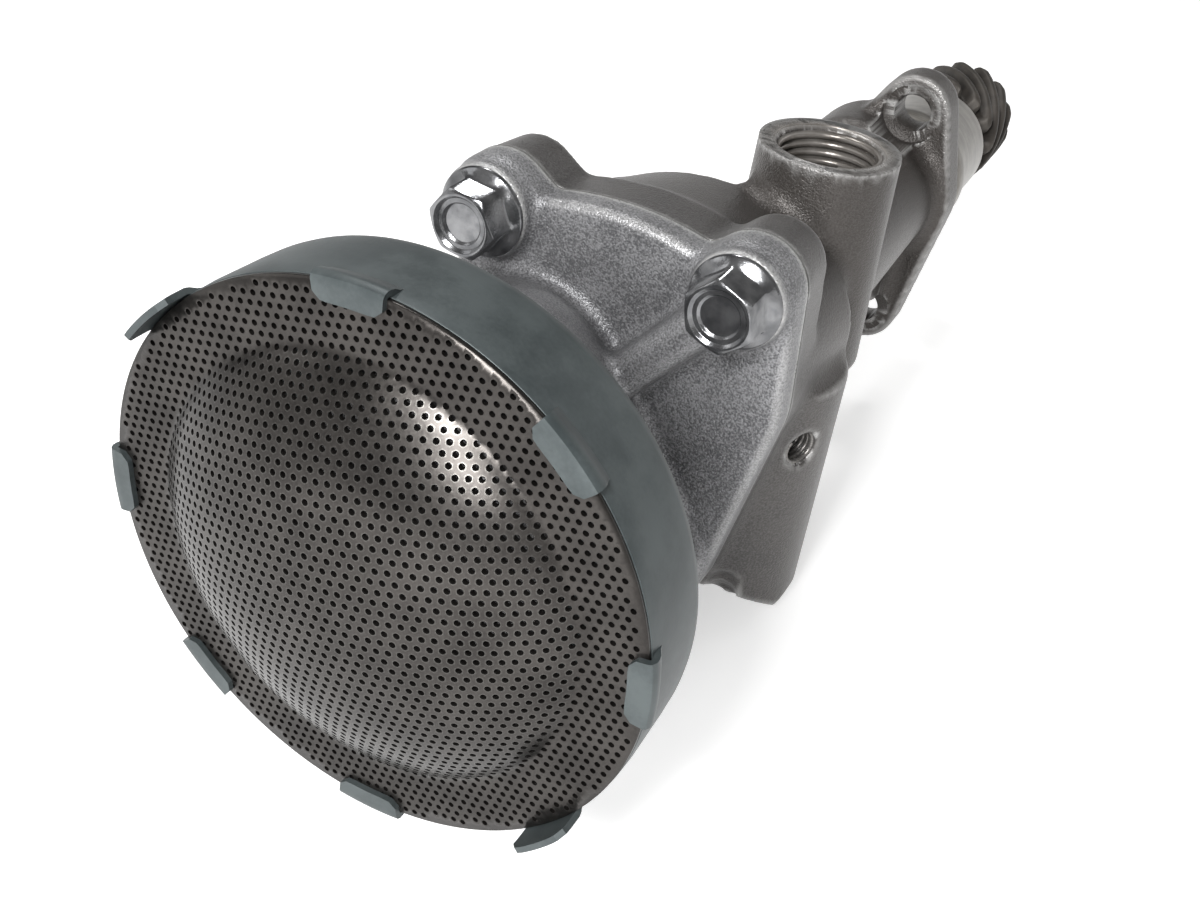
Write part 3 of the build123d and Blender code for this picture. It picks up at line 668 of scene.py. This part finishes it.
# The dish, as (how far outside its radius, how far below the head's top), from the rim to the middle.
dish_steps = [
    (1.0, 0.0),
    (0.85, 0.06),
    (0.45, 0.62),
    (0.25, 0.7),
    (-0.35, 0.7),
    (-0.5, 0.76),
    (-0.8, dish_depth),
    (-1.0, dish_depth + 0.02),
    (-3.2, dish_depth - 0.06),
]
head_rings += [head_ring(fixed(dish_radius + out), fixed(head_top - down)) for out, down in dish_steps]
head_mesh = ring_stack("bolt_head", head_rings)
head_mesh.polygons.foreach_set("use_smooth", np.ones(len(head_mesh.polygons), bool))
head_template = template(head_mesh)
seats = [(8.0, 21.5), (-42.0, 21.5), (2.25, -38.0), (-29.75, -38.0)]
bolt_places = [(x, seat_y, z) for x, z in seats]
bolt_turns = [0.35, 0.1, 0.5, 0.85]

bolts = Pattern("bolts_on_bosses")
head_object = bolts.size("Head", head_template, "Object")
head = bolts.node("GeometryNodeObjectInfo", inputs={"Object": head_object}, output="Geometry")
twist = bolts.node("GeometryNodeInputNamedAttribute", {"data_type": "FLOAT"}, {"Name": "turn"})
spin = bolts.node("ShaderNodeCombineXYZ", inputs={"Y": twist})
bosses = bolts.node("GeometryNodeMeshToPoints", inputs={"Mesh": bolts.geometry()})
heads = bolts.node("GeometryNodeInstanceOnPoints", inputs={
    "Points": bosses, "Instance": head, "Rotation": spin})
places = mesh_from("bolt_places", bolt_places, [])
places.attributes.new("turn", "FLOAT", "POINT").data.foreach_set("value", bolt_turns)
heads_mesh = bolts.grow(places, heads, bright_zinc)
add_piece("cover_bolt_heads", heads_mesh, bright_zinc, "pump", "zinc_bolt", "cover_bolts")
bpy.data.objects.remove(head_template)


# Machined places on the body: the port's faced rim and its pipe thread, the tapped side hole,
# and the turned pilot and nose beyond the flange. The cutter leaves rings that catch the light.


def rounded(corners):
    """Points along a profile whose corners are (radius, along, bend); each bend becomes an arc."""
    path = []
    count = len(corners)
    for i, (r, y, bend) in enumerate(corners):
        here = Vector((r, y))
        if bend == 0:
            path.append((r, y))
            continue
        before = Vector(corners[i - 1][:2]) - here
        after = Vector(corners[(i + 1) % count][:2]) - here
        half = before.angle(after) / 2
        reach = min(bend / math.tan(half), 0.49 * before.length, 0.49 * after.length)
        start, end = here + before.normalized() * reach, here + after.normalized() * reach
        arc_steps = 4
        for step in range(arc_steps + 1):
            t = step / arc_steps
            path.append(tuple((1 - t) ** 2 * start + 2 * t * (1 - t) * here + t * t * end))
    return path


def lathe(name, corners, steps, centre=(0, 0, 0), axis="Y"):
    """Closed ring turned about an axis from a closed profile of (radius, along, bend)."""
    rings = []
    for r, along in rounded(corners):
        ring = []
        for i in range(steps):
            angle = 2 * math.pi * i / steps
            a, b = r * math.cos(angle), r * math.sin(angle)
            point = {"X": (along, a, b), "Y": (b, along, a), "Z": (a, b, along)}[axis]
            ring.append(tuple(p + c for p, c in zip(point, centre)))
        rings.append(ring)
    return ring_stack(name, rings, hole=True)


def turned_metal(name, dark, light, axis, centre, rough=0.28):
    """Metal cut on a lathe or with a boring tool: fine rings about an axis through centre."""
    made = Finish(name, metallic=0.6, roughness=rough)
    middle = tuple(c / 1000 for c in centre)
    place = made.node("ShaderNodeVectorMath", {"operation": "SUBTRACT"}, {0: made.spot(), 1: middle})
    parts = made.node("ShaderNodeSeparateXYZ", inputs={0: place})
    along = parts.other(axis)
    across = [parts.other(other) for other in "XYZ" if other != axis]
    reach = made.maths("SQRT", across[0] * across[0] + across[1] * across[1])
    line = made.node("ShaderNodeCombineXYZ", inputs={"X": reach, "Y": along})
    rings = made.node("ShaderNodeTexNoise", inputs={"Vector": line, "Scale": 1000 / 0.35, "Detail": 2.0})
    cloud = made.grain(4.0, 3.0)
    made.feed("Base Color", made.blend(made.ease(rings * 0.6 + cloud * 0.4, 0.35, 0.65), dark, light))
    made.feed("Roughness", rough - 0.05 + rings * 0.12 + cloud * 0.06)
    made.relief(rings, 0.03, 0.8)
    return made


def thread_ridge(name, wall, depth, pitch, length, finish):
    """Ridge of an inside thread along +Z from the origin, wound on a wall of some radius."""
    ridge = Pattern(name)
    half = ridge.size("Half width", pitch / 2000)
    spiral = ridge.node("GeometryNodeCurveSpiral", inputs={
        "Resolution": ridge.size("Steps per turn", 40, "Int"),
        "Rotations": ridge.size("Turns", length / pitch),
        "Start Radius": ridge.size("Wall radius", wall / 1000),
        "End Radius": ridge.size("End radius", wall / 1000),
        "Height": ridge.size("Length", length / 1000)})
    upright = ridge.node("GeometryNodeSetCurveNormal", {"mode": "Z_UP"}, {0: spiral})
    section = ridge.node("GeometryNodeCurvePrimitiveCircle", inputs={
        "Resolution": ridge.size("Section corners", 4, "Int"), "Radius": half})
    flat = ridge.node("GeometryNodeTransform", inputs={
        "Geometry": section, "Scale": ridge.size("Section scale", (2 * depth / pitch, 1.0, 1.0), "Vector")})
    wound = ridge.node("GeometryNodeCurveToMesh", inputs={
        "Curve": upright, "Profile Curve": flat, "Fill Caps": True})
    return ridge.grow(bpy.data.meshes.new("empty"), wound, finish)


def join_meshes(name, parts):
    """One mesh of several, each put in place by a matrix."""
    skin = bmesh.new()
    for mesh, place in parts:
        moved = mesh.copy()
        moved.transform(place)
        skin.from_mesh(moved)
    whole = bpy.data.meshes.new(name)
    skin.to_mesh(whole)
    skin.free()
    return outward(whole)


def shift(x, y, z):
    """Move by millimetres."""
    return Matrix.Translation((x / 1000, y / 1000, z / 1000))


port_dark, port_light = (0.16, 0.145, 0.13, 1), (0.34, 0.32, 0.30, 1)
port_metal = turned_metal("port_turned", port_dark, port_light, "Z", (port_x, port_y, 0))
port_wall, port_depth, port_pitch, port_thread_length = 10.2, 0.85, 1.81, 16.6
port_ring = lathe("port_ring", [
    (10.15, port_top - 1.5, 0),
    (11.1, port_top, 0.15),
    (13.75, port_top, 0.25),
    (13.75, port_top - 1.5, 0),
], steps=128, centre=(port_x, port_y, 0), axis="Z")
port_thread = thread_ridge("port_thread", port_wall, port_depth, port_pitch, port_thread_length, port_metal)
port_thread_start = port_top - port_thread_length - 1.0
port_parts = [(port_ring, Matrix()), (port_thread, shift(port_x, port_y, port_thread_start))]
port_mesh = join_meshes("port_rim_and_thread", port_parts)
add_piece("port_rim_and_thread", port_mesh, port_metal, "pump", "cast_aluminium")

side_dark, side_light = (0.10, 0.095, 0.09, 1), (0.24, 0.23, 0.22, 1)
side_metal = turned_metal("side_hole_cut", side_dark, side_light, "Z", (0, 0, -15.0))
side_wall, side_depth, side_pitch, side_thread_length = 3.45, 0.6, 1.25, 7.0
side_thread = thread_ridge("side_thread", side_wall, side_depth, side_pitch, side_thread_length, side_metal)
side_turn = side_hole_way.to_track_quat("Z", "Y").to_matrix().to_4x4()
side_place = Matrix.Translation(side_hole_start / 1000) @ side_turn
side_mesh = join_meshes("side_hole_thread", [(side_thread, side_place)])
add_piece("side_hole_thread", side_mesh, side_metal, "pump", "cast_aluminium")

nose_dark, nose_light = (0.17, 0.16, 0.145, 1), (0.33, 0.315, 0.29, 1)
nose_metal = turned_metal("nose_turned", nose_dark, nose_light, "Y", (0, 0, 0))
pilot_radius, nose_radius, skin_inside = 15.98, 14.58, 13.0
pilot_start, pilot_end, nose_end = -0.5, 10.0, 33.97
pilot_skin = lathe("pilot", [
    (skin_inside, pilot_start, 0),
    (pilot_radius, pilot_start, 0),
    (pilot_radius, pilot_end, 0.5),
    (nose_radius, pilot_end, 0.2),
    (nose_radius, nose_end, 0.6),
    (skin_inside, nose_end, 0),
], steps=160)
add_piece("turned_pilot_and_nose", pilot_skin, nose_metal, "pump", "cast_aluminium")


# Strainer cup: a pan pressed from zinc-plated steel sheet, clamped on the cover's neck.
# Its rim carries eight tabs, six of them folded down over the screen to hold it.
cup_x = -14.0
rim_y = -197.2
cup_steps = 240
dull_zinc = Finish("cup_zinc", metallic=0.3, roughness=0.42)
cup_cloud, cup_fine = dull_zinc.grain(9.0, 3.0), dull_zinc.grain(0.6, 2.0)
cup_tone = dull_zinc.ease(cup_cloud * 0.8 + cup_fine * 0.2, 0.32, 0.68)
cup_dark, cup_light = (0.040, 0.050, 0.052, 1), (0.078, 0.092, 0.094, 1)
dull_zinc.feed("Base Color", dull_zinc.blend(cup_tone, cup_dark, cup_light))
dull_zinc.feed("Roughness", 0.36 + cup_fine * 0.14 + cup_cloud * 0.1)
dull_zinc.relief(cup_fine, 0.02, 0.5)

cup_outside = rim_y + 16.7
cup_inside = rim_y + 15.5
neck_hole_radius = 21.45
# The pan's wall as (radius, y, bend), up the outside from the rim and back down the inside.
cup_profile = [
    (45.0, rim_y, 0.25),
    (45.1, rim_y + 3.0, 0),
    (44.9, rim_y + 11.0, 0),
    (44.6, cup_outside, 5.5),
    (39.0, cup_outside, 0),
    (neck_hole_radius, cup_outside, 0.3),
    (neck_hole_radius, cup_inside, 0.3),
    (39.0, cup_inside, 0),
    (43.4, cup_inside, 4.3),
    (43.7, rim_y + 11.0, 0),
    (43.9, rim_y + 3.0, 0),
    (43.8, rim_y, 0.25),
]
cup_mesh = lathe("cup_pan", cup_profile, cup_steps, (cup_x, 0, 0))
tab_width = 11.0
tab_steps = 10
tab_sheet = 0.95
tab_ring = 45.0
tab_corner = 1.3
tab_corner_share = 0.6


def tab_mesh(name, line):
    """A tab of the rim, from its middle line of (radius, y), with rounded free corners."""
    rings = []
    for k in range(tab_steps + 1):
        t = 2 * k / tab_steps - 1
        angle = t * tab_width / 2 / tab_ring
        shy = tab_corner * (1 - math.sqrt(max(0.0, 1 - abs(t) ** 6)))
        front, behind = [], []
        for i, (r, y) in enumerate(line):
            before, after = line[max(0, i - 1)], line[min(len(line) - 1, i + 1)]
            way = Vector((after[0] - before[0], after[1] - before[1])).normalized()
            share = i / (len(line) - 1)
            pull = shy * max(0.0, (share - tab_corner_share) / (1 - tab_corner_share))
            r0, y0 = r - way.x * pull, y - way.y * pull
            normal = Vector((-way.y, way.x)) * tab_sheet / 2
            front.append((r0 + normal.x, y0 + normal.y))
            behind.append((r0 - normal.x, y0 - normal.y))
        loop = front + behind[::-1]
        rings.append([(r * math.sin(angle), y, r * math.cos(angle)) for r, y in loop])
    mesh = ring_stack(name, rings)
    mesh.polygons.foreach_set("use_smooth", np.ones(len(mesh.polygons), bool))
    mesh.set_sharp_from_angle(angle=math.radians(32))
    return mesh


tab_root = [(44.6, rim_y + 2.6), (44.9, rim_y + 1.6), (45.5, rim_y + 0.5), (45.68, rim_y - 0.2)]
folded_line = tab_root + [
    (45.68, rim_y - 0.85),
    (45.5, rim_y - 1.18),
    (45.1, rim_y - 1.3),
    (44.4, rim_y - 1.3),
    (43.4, rim_y - 1.3),
    (42.3, rim_y - 1.3),
]
standing_line = tab_root + [
    (45.68, rim_y - 1.5),
    (45.66, rim_y - 2.8),
    (45.6, rim_y - 4.0),
    (45.5, rim_y - 5.2),
]
folded_template = template(tab_mesh("folded_tab", folded_line))
standing_template = template(tab_mesh("standing_tab", standing_line))


def ring_of(name, piece, first, step, count, finish):
    """Copies of one piece turned about the cup's axis, as degrees."""
    ring = Pattern(name)
    original = ring.size("Piece", piece, "Object")
    copy = ring.node("GeometryNodeObjectInfo", inputs={"Object": original}, output="Geometry")
    start = ring.size("First turn", math.radians(first))
    pace = ring.size("Step", math.radians(step))
    many = ring.size("Count", count, "Int")
    stations = ring.node("GeometryNodePoints", inputs={"Count": many})
    order = ring.node("GeometryNodeInputIndex")
    spin = ring.node("ShaderNodeCombineXYZ", inputs={"Y": start + order * pace})
    pieces = ring.node("GeometryNodeInstanceOnPoints", inputs={
        "Points": stations, "Instance": copy, "Rotation": spin})
    return ring.grow(bpy.data.meshes.new("empty"), pieces, finish)


tab_turn = -4.0
folded_high = ring_of("folded_tabs_high", folded_template, tab_turn, 45, 3, dull_zinc)
folded_low = ring_of("folded_tabs_low", folded_template, tab_turn + 180, 45, 3, dull_zinc)
standing = ring_of("standing_tabs", standing_template, tab_turn + 135, 180, 2, dull_zinc)
cup_parts = [(cup_mesh, Matrix())]
for tabs in (folded_high, folded_low, standing):
    cup_parts.append((tabs, shift(cup_x, 0, 0)))
cup_whole = join_meshes("cup_with_tabs", cup_parts)
add_piece("cup_with_tabs", cup_whole, dull_zinc, "pump", "zinc_sheet", "strainer_cup")
bpy.data.objects.remove(folded_template)
bpy.data.objects.remove(standing_template)


# Strainer screen: thin steel sheet, punched all over with small holes and pressed to a shallow dome.
# On the dome, where pressing drew the holes apart, their edges get a painted highlight; the tabs hold the
# rim.
hole_pitch = 1.67
hole_radius = 0.46
hole_turn = 17.0
dome_stretch = 0.12
screen_sheet = 0.8
screen_reach = 44.9
dome_radius = 35.0
dome_height = 10.4
dome_fullness = 2.3
dome_edge = 0.8
tile_room = 1.0
foot_blend = 0.4

screen_steel = Finish("screen_steel", metallic=0.85, roughness=0.3)
screen_cloud, screen_fine = screen_steel.grain(8.0, 3.0), screen_steel.grain(0.5, 2.0)
lip = screen_steel.ease(screen_steel.mark("lip"), 0.45, 1.0)
on_dome = screen_steel.mark("dome")
screen_tone = screen_steel.ease(screen_cloud * 0.7 + screen_fine * 0.3, 0.3, 0.7)
screen_dark, screen_light = (0.034, 0.031, 0.029, 1), (0.062, 0.057, 0.053, 1)
# Painted highlight: the hole edges on the dome are given a lighter colour.
painted_lip_highlight = (0.20, 0.195, 0.185, 1)
sheet_colour = screen_steel.blend(screen_tone, screen_dark, screen_light)
screen_steel.feed("Base Color", screen_steel.blend(lip * on_dome * 0.25, sheet_colour, painted_lip_highlight))
screen_steel.feed("Roughness", 0.26 + screen_fine * 0.12 - lip * on_dome * 0.06)
screen_steel.relief(screen_fine, 0.02, 0.5)


def hole_tile():
    """Six-sided piece of the sheet with one punched hole; its front lies at y 0, towards -y."""
    sides, corners = 12, 6
    corner_reach = hole_pitch / math.sqrt(3)

    def circle(radius, y, count):
        angles = [2 * math.pi * i / count for i in range(count)]
        return [(radius * math.cos(a), y, radius * math.sin(a)) for a in angles]

    points = circle(corner_reach, 0, corners) + circle(hole_radius, 0, sides)
    points += circle(hole_radius, screen_sheet, sides) + circle(corner_reach, screen_sheet, corners)
    front, mouth, wall, rear = 0, corners, corners + sides, corners + 2 * sides
    faces = []
    for i in range(corners):
        j, ring = (i + 1) % corners, [(2 * i + k) % sides for k in range(3)]
        faces.append((front + i, front + j, mouth + ring[2], mouth + ring[1], mouth + ring[0]))
        faces.append((rear + j, rear + i, wall + ring[0], wall + ring[1], wall + ring[2]))
    for i in range(sides):
        j = (i + 1) % sides
        faces.append((mouth + i, mouth + j, wall + j, wall + i))
    mesh = mesh_from("hole_tile", points, faces)
    lips = [0.0] * corners + [1.0] * sides + [0.0] * (sides + corners)
    mesh.attributes.new("lip", "FLOAT", "POINT").data.foreach_set("value", lips)
    mesh.polygons.foreach_set("use_smooth", np.ones(len(mesh.polygons), bool))
    mesh.set_sharp_from_angle(angle=math.radians(40))
    return mesh


tile_template = template(hole_tile())
rows = 2 * int(screen_reach / hole_pitch) + 3
columns = 2 * int(screen_reach / (hole_pitch * math.sqrt(3) / 2)) + 3
punched = Pattern("punched_screen")
tile_object = punched.size("Tile", tile_template, "Object")
tile = punched.node("GeometryNodeObjectInfo", inputs={"Object": tile_object}, output="Geometry")
pitch = punched.size("Pitch", hole_pitch / 1000)
reach = punched.size("Reach", (screen_reach - tile_room) / 1000)
foot_reach = punched.size("Dome radius", dome_radius / 1000)
rise = punched.size("Dome height", dome_height / 1000)
fullness = punched.size("Fullness", dome_fullness)
foot_power = punched.size("Foot power", dome_edge)
blend_width = punched.size("Foot blend", foot_blend / 1000)
stretch = punched.size("Stretch", dome_stretch)
lattice_turn = punched.size("Lattice turn", (0, math.radians(hole_turn), 0), "Vector")
across = punched.size("Columns", columns, "Int")
along = punched.size("Rows", rows, "Int")
spot_index = punched.node("GeometryNodeInputIndex")
column = punched.maths("FLOOR", spot_index / along + 0.0001)
row = spot_index - column * along
odd = punched.maths("FLOORED_MODULO", column, 2.0)
x_place = (column - (across - 1) * 0.5) * pitch * (math.sqrt(3) / 2)
z_place = (row - (along - 1) * 0.5 + odd * 0.5 - 0.25) * pitch
station = punched.node("ShaderNodeCombineXYZ", inputs={"X": x_place, "Z": z_place})
stations = punched.node("GeometryNodePoints", inputs={"Count": across * along, "Position": station})
position = punched.node("GeometryNodeInputPosition")
far = punched.node("ShaderNodeVectorMath", {"operation": "LENGTH"}, {0: position}, 1)
outside = punched.node("FunctionNodeCompare", {"operation": "GREATER_THAN"}, {0: far, 1: reach})
kept = punched.node("GeometryNodeDeleteGeometry", inputs={"Geometry": stations, "Selection": outside})
turned = punched.node("GeometryNodeTransform", inputs={"Geometry": kept, "Rotation": lattice_turn})
tiles = punched.node("GeometryNodeInstanceOnPoints", inputs={
    "Points": turned, "Instance": tile, "Rotation": lattice_turn})
whole = punched.node("GeometryNodeRealizeInstances", inputs={0: tiles})
welded = punched.node("GeometryNodeMergeByDistance", inputs={"Geometry": whole, "Distance": 0.00004})
place = punched.node("GeometryNodeInputPosition")
parts = punched.node("ShaderNodeSeparateXYZ", inputs={0: place})
radial = punched.maths("SQRT", parts * parts + parts.other("Z") * parts.other("Z"))
flat_share = punched.maths("MINIMUM", radial / foot_reach, 1.0)
drawn = (1.0 - flat_share * flat_share) * stretch
inside = foot_reach - radial * (1.0 + drawn)
inside = (inside + punched.maths("SQRT", inside * inside + blend_width * blend_width)) * 0.5
share = punched.maths("MAXIMUM", 1.0 - inside / foot_reach, 0.0)
lift = (1.0 - share**fullness) ** foot_power * rise
dome_mark = punched.ease(lift, 0.0003, 0.0009)
domed = punched.node("GeometryNodeStoreNamedAttribute", {"data_type": "FLOAT", "domain": "POINT"}, {
    "Geometry": welded, "Name": "dome", "Value": dome_mark})
press = punched.node("ShaderNodeCombineXYZ", inputs={
    "X": parts * drawn, "Y": 0.0 - lift, "Z": parts.other("Z") * drawn})
pressed = punched.node("GeometryNodeSetPosition", inputs={"Geometry": domed, "Offset": press})
screen_mesh = punched.grow(bpy.data.meshes.new("empty"), pressed, screen_steel)
bpy.data.objects.remove(tile_template)

rim_skin = bmesh.new()
rim_skin.from_mesh(screen_mesh)
loose = [e for e in rim_skin.edges if len(e.link_faces) == 1]
rim_points = {v for e in loose for v in e.verts}
for v in rim_points:
    flat = Vector((v.co.x, 0, v.co.z))
    v.co.x, v.co.z = (flat.normalized() * screen_reach / 1000).xz
    v.co.y = 0.0 if v.co.y < screen_sheet / 2000 else screen_sheet / 1000
bmesh.ops.bridge_loops(rim_skin, edges=loose)
bmesh.ops.recalc_face_normals(rim_skin, faces=rim_skin.faces)
rim_skin.to_mesh(screen_mesh)
rim_skin.free()
screen_mesh.transform(Matrix.Translation((cup_x / 1000, (rim_y - screen_sheet) / 1000, 0)))
add_piece("punched_screen", screen_mesh, screen_steel, "pump", "screen_steel", "strainer_screen")


# Pinion: hardened steel with thirteen helical teeth, driven by the engine's own gear.
# Its oiled teeth have gone brown; the hub and end faces are turned.
pinion_teeth = 13
pinion_tip = 15.0
pinion_root = 11.3
pinion_start = 41.88
pinion_end = 63.88
pinion_twist = 80.0
pinion_bore = 6.5
tooth_steepness = 1.9
tooth_fullness = 0.15
tooth_chamfer = 1.2
tooth_steps = 16
slice_steps = 26

dark_steel = Finish("gear_dark_steel", metallic=0.4, roughness=0.45)
gear_cloud, gear_fine = dark_steel.grain(4.0, 3.0), dark_steel.grain(0.4, 2.0)
gear_edge = dark_steel.mark("edge")
gear_tone = dark_steel.ease(gear_cloud, 0.3, 0.7)
gear_colour = dark_steel.blend(gear_tone, (0.024, 0.021, 0.018, 1), (0.055, 0.048, 0.041, 1))
rubbed_tooth = (0.16, 0.145, 0.13, 1)
dark_steel.feed("Base Color", dark_steel.blend(gear_edge * 0.35, gear_colour, rubbed_tooth))
dark_steel.feed("Roughness", 0.42 + gear_fine * 0.16 + gear_cloud * 0.1)
dark_steel.relief(gear_fine, 0.03, 0.5)


def tooth_slice():
    """One thirteenth of the pinion: a tooth between two half gaps, wound about the shaft."""
    pitch = 2 * math.pi / pinion_teeth
    middle, half_depth = (pinion_tip + pinion_root) / 2, (pinion_tip - pinion_root) / 2
    lobe_scale = math.tanh(tooth_steepness + tooth_fullness)
    points, faces = [], []
    for s in range(slice_steps + 1):
        t = s / slice_steps
        y = pinion_start + (pinion_end - pinion_start) * t
        end_room = min(y - pinion_start, pinion_end - y)
        for i in range(tooth_steps + 1):
            phase = (i / tooth_steps - 0.5) * pitch
            lobe = math.tanh(tooth_steepness * math.cos(phase * pinion_teeth) + tooth_fullness) / lobe_scale
            r = min(middle + lobe * half_depth, pinion_tip, pinion_tip - tooth_chamfer + end_room)
            angle = phase + math.radians(pinion_twist) * t
            points.append((r * math.cos(angle), y, r * math.sin(angle)))
    width = tooth_steps + 1
    for s in range(slice_steps):
        for i in range(tooth_steps):
            a, b = s * width + i, (s + 1) * width + i
            faces.append((a, a + 1, b + 1, b))
    for s, y in ((0, pinion_start), (slice_steps, pinion_end)):
        base = len(points)
        turn = math.radians(pinion_twist) * s / slice_steps
        for i in range(width):
            angle = (i / tooth_steps - 0.5) * pitch + turn
            points.append((pinion_bore * math.cos(angle), y, pinion_bore * math.sin(angle)))
        for i in range(tooth_steps):
            faces.append((s * width + i, s * width + i + 1, base + i + 1, base + i))
    return mesh_from("tooth_slice", points, faces)


tooth_template = template(tooth_slice())
tooth_ring = ring_of("pinion_teeth", tooth_template, 0.0, 360 / pinion_teeth, pinion_teeth, dark_steel)
bpy.data.objects.remove(tooth_template)
hub_radius, hub_start, hub_end = 11.3, 36.08, 41.95
hub_mesh = lathe("hub", [
    (pinion_bore, hub_start, 0),
    (hub_radius, hub_start, 0.5),
    (hub_radius, hub_end, 0),
    (pinion_bore, hub_end, 0),
], steps=96)
pin_y, pin_radius, pin_reach = 38.98, 2.0, 14.0
pin_hole = [(0, pin_radius), (2 * pin_reach, pin_radius)]
hub_mesh = drill(hub_mesh, round_bit((0, pin_y, -pin_reach), (0, 0, 1), pin_hole))
teeth_mesh = join_meshes("pinion_teeth", [(tooth_ring, Matrix()), (hub_mesh, Matrix())])
mark_edges_and_hollows(teeth_mesh)
add_piece("pinion_with_hub", teeth_mesh, dark_steel, "drive", "gear_steel", "pinion")


# Plain turned pieces keep their solids and get the finish of their own metal.
# They are the shaft, bushes, washers, relief valve and the parts sealed inside the case.


def metal(name, dark, light, rough, metallic=1.0):
    """Turned or ground metal with faint clouds and fine scratches."""
    made = Finish(name, metallic=metallic, roughness=rough)
    cloud, fine = made.grain(5.0, 3.0), made.grain(0.3, 2.0)
    made.feed("Base Color", made.blend(made.ease(cloud, 0.3, 0.7), dark, light))
    made.feed("Roughness", rough - 0.06 + fine * 0.12 + cloud * 0.08)
    made.relief(fine, 0.02, 0.5)
    return made


ground_steel = metal("shaft_ground_steel", (0.30, 0.28, 0.26, 1), (0.46, 0.44, 0.42, 1), 0.28)
gear_steel = metal("gear_steel", (0.20, 0.20, 0.20, 1), (0.34, 0.34, 0.34, 1), 0.32)
black_steel = metal("black_steel", (0.05, 0.05, 0.05, 1), (0.10, 0.10, 0.10, 1), 0.4, 0.7)
bush_bronze = metal("bush_bronze", (0.36, 0.22, 0.10, 1), (0.52, 0.34, 0.17, 1), 0.35)
copper = metal("washer_copper", (0.45, 0.20, 0.11, 1), (0.62, 0.30, 0.18, 1), 0.35)
gasket_fibre = metal("gasket_fibre", (0.10, 0.10, 0.095, 1), (0.17, 0.17, 0.165, 1), 0.8, 0.0)
plain_pieces = {
    "drive_shaft": ground_steel,
    "driven_shaft": ground_steel,
    "dowel_pins": ground_steel,
    "pinion_pin": ground_steel,
    "thrust_washer": ground_steel,
    "relief_plunger": ground_steel,
    "drive_gear": gear_steel,
    "driven_gear": gear_steel,
    "drive_gear_key": gear_steel,
    "relief_spring": gear_steel,
    "relief_plug": black_steel,
    "cup_retaining_ring": black_steel,
    "lower_bush": bush_bronze,
    "upper_bush": bush_bronze,
    "driven_gear_bush": bush_bronze,
    "relief_plug_washer": copper,
    "cover_gasket": gasket_fibre,
}
for name, finish in plain_pieces.items():
    solid = nodes[name]
    solid.data.materials.clear()
    solid.data.materials.append(finish.material)
